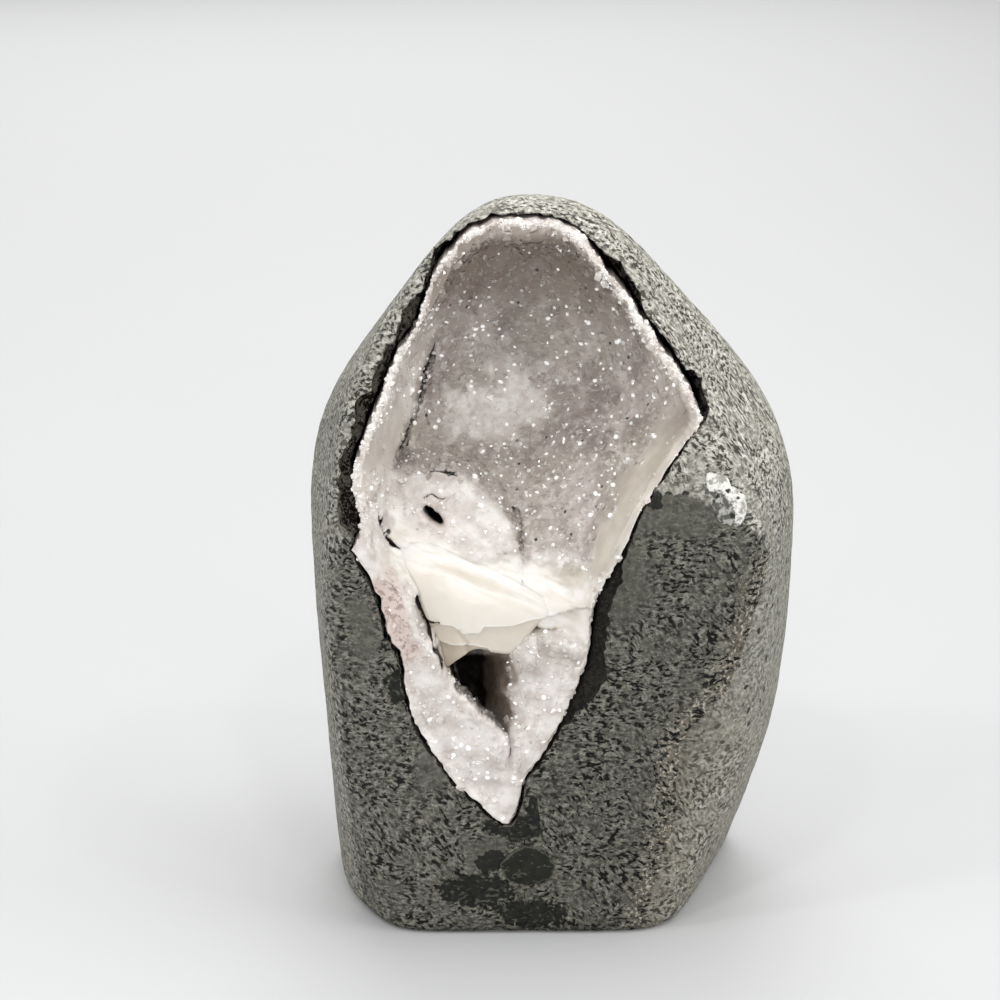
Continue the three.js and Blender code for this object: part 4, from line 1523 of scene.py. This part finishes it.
def broken_stone(make, ground):
    """The broken stone inside the seam: black, with paler shards."""
    shard = make.band(make.noise(ground.place, 1.5, 3.0, 0.6), 0.47, 0.55)
    shard = make.maths("MAXIMUM", shard * 0.6, make.band(ground.fine, 0.53, 0.61))
    return make.mix(shard * (0.08 + 0.92 * make.attribute("ragged")), *STONE_BROKEN)


def basalt_finish():
    """Ground basalt: grey-green groundmass with open black pits, pale scratches and specks, in
    busy and calm patches; paler on the upper facets, by paler grinding and painted light from above,
    green-black on the rind."""
    make = Finish("ground_basalt", {"Specular IOR Level": 0.15})
    ground = Ground(make)
    grade = make.band(ground.mottle, 0.3, 0.7)
    stroke = ground_stroke(make, ground)
    pit = make.band(stroke, 0.47, 0.40) * ground.busy
    light_stroke = make.band(stroke, 0.56, 0.67) * ground.busy
    scratch = ground_scratch(make, ground)
    fleck = make.band(ground.fine, 0.57, 0.66) * 0.5 * (1 - ground.rind) * (1 - 0.6 * ground.calm)
    shade = make.band(ground.mottle, 0.40, 0.34) * 0.6 * (1 - 0.6 * ground.calm)
    rust = make.band(make.noise(ground.place, 0.9, 2.0), 0.50, 0.60) * ground.rusty
    rust_fleck = make.band(ground.fine, 0.54, 0.64) * ground.rusty
    pepper = make.dots(ground.warp, 1.9, (0.30, 0.22), (0.38, 0.42)) * ground.calm * ground.pale * 3.0
    flecks = make.mix(ground.pale, *STONE_FLECKS)
    pits = make.mix(ground.pale, *STONE_PITS)
    colour = make.painted(
        # Dark front and paler upper facets, the upper ones paler partly by painted light.
        make.mix(ground.pale, make.mix(grade, *STONE_DARK), make.mix(grade, *STONE_PALE)),
        (ground.rind * 0.95, make.mix(ground.mottle, *STONE_RIND)),
        (make.attribute("warm") * ground.over * 0.35, STONE_WARM),
        (ground.rusty * 0.12, STONE_RUSTY),
        (light_stroke * (0.5 + 0.5 * ground.pale), flecks),
        (scratch * 0.62, flecks),
        (fleck, flecks),
        (rust * 0.4, RUST),
        (rust_fleck * 0.75, RUST_FLECK),
        (pit, pits),
        (shade, pits),
        (pepper, PEPPER),
        (make.attribute("broken"), broken_stone(make, ground)),
    )
    height = ground.mottle * 0.25 + light_stroke * 0.25 + scratch * 0.2 - pit * 0.7
    rough_wires = {"Roughness": 0.55 + 0.15 * ground.rind, "Normal": make.bump(height, 0.26)}
    return make.finish({"Base Color": colour, **rough_wires})


def druse_colour(make, place, cloud, spot):
    """Mauve druse in clouds, with olive patches, milky spots and fine pale and dark dashes."""
    dash = make.noise(make.stretch(place, (0.6, 0.6, 1.3)), 0.75, 2.0, 0.6)
    return make.painted(
        make.mix(make.band(cloud, 0.36, 0.64), *DRUSE),
        (make.band(make.noise(place, 11.0), 0.45, 0.6) * 0.6, DRUSE_OLIVE),
        (make.band(spot, 0.52, 0.66) * 0.5, DRUSE_SPOT),
        (make.band(dash, 0.57, 0.66) * 0.4, PALE_DASH),
        (make.band(dash, 0.42, 0.33) * 0.45, DARK_DASH),
    )


def crack_shade_height(make, grain, spot):
    """Highest in the middle of the cracks and pits and of the dark lines along the fold and the
    mound, where shade is painted, and made uneven by the grain and the spots."""
    crack = make.attribute("crack")
    for name in ("fold", "lip"):
        near = FAR_WIDTHS - make.maths("ABSOLUTE", make.attribute(name + "_gap"))
        crack = make.maths("MAXIMUM", crack, near * make.attribute(name))
    return crack + 0.6 * (grain - 0.5) + 0.9 * (spot - 0.45)


def crust_colour(make, place):
    """The crust's colours: mauve druse, white rim and mound, beige chalcedony, cream glaze, brown
    and painted shade in the depths, and a pink blush, with clouds, milky spots, painted shade in the
    cracks, and faint grains."""
    cloud = make.noise(place, 7.0, 3.0)
    spot = make.noise(place, 2.6, 3.0, 0.55)
    grain = make.noise(place, 1.0, 2.0, 0.5)
    milk, wax, blush, umber = map(make.attribute, ("milk", "wax", "blush", "umber"))
    freckle = make.band(make.noise(place, 0.9, 3.0, 0.65), 0.51, 0.42)
    crack = crack_shade_height(make, grain, spot)
    speck = make.dots(place, 2.4, (0.14, 0.09), (0.42, 0.44)) * (1 - wax) * (1 - milk)
    return make.painted(
        druse_colour(make, place, cloud, spot),
        (milk, make.mix(make.band(spot, 0.34, 0.60), *MILK)),
        (wax, make.mix(make.band(cloud, 0.3, 0.7), *BEIGE)),
        (make.attribute("glaze") * 0.9, streaked_cream(make, place)),
        (blush * 0.6, BLUSH),
        (blush * freckle * 0.7, FRECKLE),
        # Brown, and painted shade in the depths and under the arch; near black as painted shade in
        # the channel.
        (make.band(umber, 0, 0.55), UMBER_AND_SHADE),
        (make.band(umber, 0.5, 0.9), DEEP_SHADE),
        # Painted shade in the cracks, pits and the lines along the fold and the mound's lip.
        (make.band(crack, 2.2, 2.8) * 0.4, CRACK_EDGE_SHADE),
        (make.band(crack, 2.75, 3.05), CRACK_SHADE),
        (speck, SPECK),
        (make.band(grain, 0.44, 0.26) * 0.15, GRAIN_SHADE),
    )


def streaked_cream(make, place):
    """White and cream streaks running down to the right, as on the top of the apophyllite."""
    slanted = make.stretch(make.turned(place, (0, STREAK_SLANT, 0)), (0.11, 1.0, 1.0))
    streak = make.noise(slanted, 1.9, 3.0, 0.5)
    return make.mix(make.band(streak, 0.36, 0.60), *CREAM_STREAKS)


def crust_finish():
    """Chalcedony and quartz crust with a fine glassy grain."""
    make = Finish("quartz_crust", {"Specular IOR Level": 0.7, "IOR": 1.55})
    place = make.place()
    wax = make.attribute("wax")
    colour = crust_colour(make, place)
    grain = make.bump(make.noise(place, 0.7, 2.0, 0.55) * (1 - 0.8 * wax), 0.07)
    return make.finish({"Base Color": colour, "Roughness": 0.34 - 0.06 * wax, "Normal": grain})


def point_finish():
    """Quartz points: the crust's colours, each point a shade lighter or darker, with faces as
    smooth as glass."""
    make = Finish("quartz_points", {"Specular IOR Level": 1.0, "IOR": 1.6})
    own = make.attribute("own")
    colour = make.mix(own * 0.14, crust_colour(make, make.place()), POINT_WHITE)
    return make.finish({"Base Color": colour, "Roughness": 0.15 + 0.10 * own})


def glint_grain_finish():
    """Clear quartz grains painted white as glints, some with a painted glow of their own."""
    # A faint glow: painted glints.
    constants = {"Specular IOR Level": 1.0, "IOR": 1.6, "Emission Strength": 0.35}
    make = Finish("glinting_quartz_grains", constants)
    own = make.attribute("own")
    # Painted glow on some of the grains.
    painted_glow = make.mix(make.band(own, 0.35, 0.55), *PAINTED_GLOW)
    colour = make.mix(own, *GLINT_WHITE)
    return make.finish({"Base Color": colour, "Roughness": 0.12 + 0.1 * own, "Emission Color": painted_glow})


def apophyllite_finish():
    """Cream apophyllite: waxy and slightly see-through, whiter on its streaked top, duller and
    more olive at its foot, which is painted shade under its broken edges, with a painted highlight
    along those edges and painted shade in its split."""
    constants = {
        "Subsurface Weight": 0.35,
        "Subsurface Radius": (1.0, 0.9, 0.7),
        "Subsurface Scale": 1.5 * METRE,
        "Specular IOR Level": 0.55,
    }
    make = Finish("apophyllite", constants)
    place = make.place()
    cloud = make.noise(place, 4.5, 2.0)
    # A painted highlight along the broken edges.
    bright = make.band(make.attribute("ledge") + 1.2 * (cloud - 0.5), 2.9, 3.6)
    colour = make.painted(
        make.mix(cloud, *CREAM),
        (make.attribute("top"), streaked_cream(make, place)),
        # Painted shade on the foot under the broken edges.
        (make.attribute("foot") * 0.9, FOOT_SHADE),
        (make.attribute("sugar") * 0.5, CREAM_SUGAR),
        (bright * 0.6, LEDGE_HIGHLIGHT),
        # Painted shade in the split.
        (make.band(make.attribute("crack"), 2.7, 3.2), SPLIT_SHADE),
    )
    bumps = make.bump(make.noise(place, 0.9, 3.0), 0.05)
    return make.finish({"Base Color": colour, "Roughness": 0.26 + 0.2 * cloud, "Normal": bumps})


def zeolite_finish():
    """White zeolite, rough and crumbly: a white crescent over its top and down its right side,
    grey and holed inside."""
    make = Finish("zeolite_fill", {"Specular IOR Level": 0.4})
    place = make.place()
    crumb = make.noise(place, 0.9, 4.0, 0.65)
    apart = {"Vector": place}
    across = make.node("ShaderNodeSeparateXYZ", {}, apart, "X") - ZEOLITE_CENTRE[0]
    up = make.node("ShaderNodeSeparateXYZ", {}, apart, "Z") - ZEOLITE_CENTRE[1]
    inward, below = across + 1.5, up + 1.3
    far = (inward * inward + below * below) ** 0.5
    crescent = make.band(far + 3.2 * (crumb - 0.5), 2.7, 3.3) * make.band(across + up, -1.6, -0.6)
    rim = make.mix(make.band(crumb, 0.40, 0.54), *ZEOLITE_WHITE)
    inside = make.mix(make.band(crumb, 0.44, 0.58), *ZEOLITE_GREY)
    holes = make.band(make.noise(place, 1.5, 2.0), 0.40, 0.34)
    colour = make.painted(inside, (crescent, rim), (holes, ZEOLITE_HOLE))
    return make.finish({"Base Color": colour, "Roughness": 0.8, "Normal": make.bump(crumb, 0.3)})


def celadonite_finish():
    """Green-black celadonite with worn flecks and a thin paler edge."""
    make = Finish("celadonite_fill", {"Specular IOR Level": 0.12})
    place = make.place()
    cloud = make.noise(place, 2.2, 4.0, 0.6)
    worn = make.noise(make.stretch(place, (0.5, 1.0, 1.0)), 0.5, 2.0)
    edge = make.band(make.attribute("edge") + 0.25 * (cloud - 0.5), 0.90, 0.98)
    colour = make.painted(
        make.mix(cloud, *CELADONITE_DARK),
        (make.band(worn, 0.60, 0.66) * 0.5, CELADONITE_WORN),
        (edge * 0.6, CELADONITE_EDGE),
    )
    return make.finish({"Base Color": colour, "Roughness": 0.6, "Normal": make.bump(cloud, 0.12)})


def floor_finish():
    """Smooth white board."""
    return Finish("white_board", {"Roughness": 0.6, "Base Color": BOARD_WHITE}).material


# ---- the stage ----

CAMERA_PLACE = (-8.3, -439.97, 209.23)
CAMERA_PITCH = 18.5
CAMERA_LENS = 108.0
SENSOR_WIDTH = 36.0
FLOOR_HALF_WIDTH = 3.0
SKY_COLOUR = (1.0, 0.985, 0.96, 1)
SKY_STRENGTH = 0.46
# Places, sizes and the point that the lights aim at are in metres, powers in watts.
LIGHT_AIM = (0, 0, 0.06)
SOFT_LIGHTS = (
    ("top_light", (0.1, 0.1, 0.75), 0.6, 2.5),
    ("back_light", (-0.1, 0.8, 0.45), 0.7, 2.4),
    ("right_light", (0.7, -0.1, 0.35), 0.4, 1.4),
    ("left_light", (-0.7, -0.2, 0.35), 0.4, 0.9),
)
# Small bright lights that make crystal faces glint.
KEY_LIGHTS = (
    (0.30, -0.25, 0.62),
    (0.10, -0.45, 0.58),
    (-0.14, -0.38, 0.64),
    (-0.34, -0.22, 0.56),
    (0.42, -0.48, 0.30),
    (-0.40, -0.52, 0.26),
    (0.16, -0.66, 0.34),
    (-0.12, -0.70, 0.20),
)
KEY_SIZE = 0.045
KEY_POWER = 0.30


def place_camera():
    """The camera looks along +Y and down on the open front."""
    data = bpy.data.cameras.new("camera")
    data.sensor_width = SENSOR_WIDTH
    data.lens = CAMERA_LENS
    camera = bpy.data.objects.new("camera", data)
    camera.location = (np.array(CAMERA_PLACE) + OVER_ORIGIN) * METRE
    camera.rotation_euler = (math.radians(90 - CAMERA_PITCH), 0, 0)
    bpy.context.scene.collection.objects.link(camera)
    bpy.context.scene.camera = camera


def area_light(name, place, size, power):
    """A soft square light at a place, turned to shine at the stone."""
    data = bpy.data.lights.new(name, "AREA")
    data.shape = "SQUARE"
    data.size = size
    data.energy = power
    light = bpy.data.objects.new(name, data)
    light.location = place
    way = np.array(LIGHT_AIM) - np.array(place)
    level = math.hypot(way[0], way[1])
    light.rotation_euler = (math.atan2(level, -way[2]), 0, math.atan2(way[1], way[0]) - math.pi / 2)
    bpy.context.scene.collection.objects.link(light)


def build_floor():
    """A flat pale square under the stone."""
    mesh = bpy.data.meshes.new("floor")
    signs = ((-1, -1), (1, -1), (1, 1), (-1, 1))
    corners = [(FLOOR_HALF_WIDTH * across, FLOOR_HALF_WIDTH * along, 0) for across, along in signs]
    mesh.from_pydata(corners, [], [(0, 1, 2, 3)])
    floor = bpy.data.objects.new("floor", mesh)
    bpy.context.scene.collection.objects.link(floor)
    floor.data.materials.append(floor_finish())


def build_stage():
    """A pale floor, a bright sky and soft lights above, behind and beside the stone."""
    build_floor()
    world = bpy.data.worlds.new("tent")
    world.use_nodes = True
    sky = world.node_tree.nodes["Background"].inputs
    sky["Color"].default_value = SKY_COLOUR
    sky["Strength"].default_value = SKY_STRENGTH
    bpy.context.scene.world = world
    for light in SOFT_LIGHTS:
        area_light(*light)
    for number, place in enumerate(KEY_LIGHTS):
        area_light(f"key_light_{number}", place, KEY_SIZE, KEY_POWER)
    bpy.context.scene.view_settings.view_transform = "Standard"


place_camera()
build_stage()
build_basalt(basalt_finish())
crust_side, crust_side_marks = build_crust(crust_finish())
build_druse(crust_side, crust_side_marks, point_finish(), glint_grain_finish())
build_mass(apophyllite_finish())
build_amygdule("zeolite", ZEOLITE, zeolite_finish())
build_amygdule("celadonite", CELADONITE, celadonite_finish())
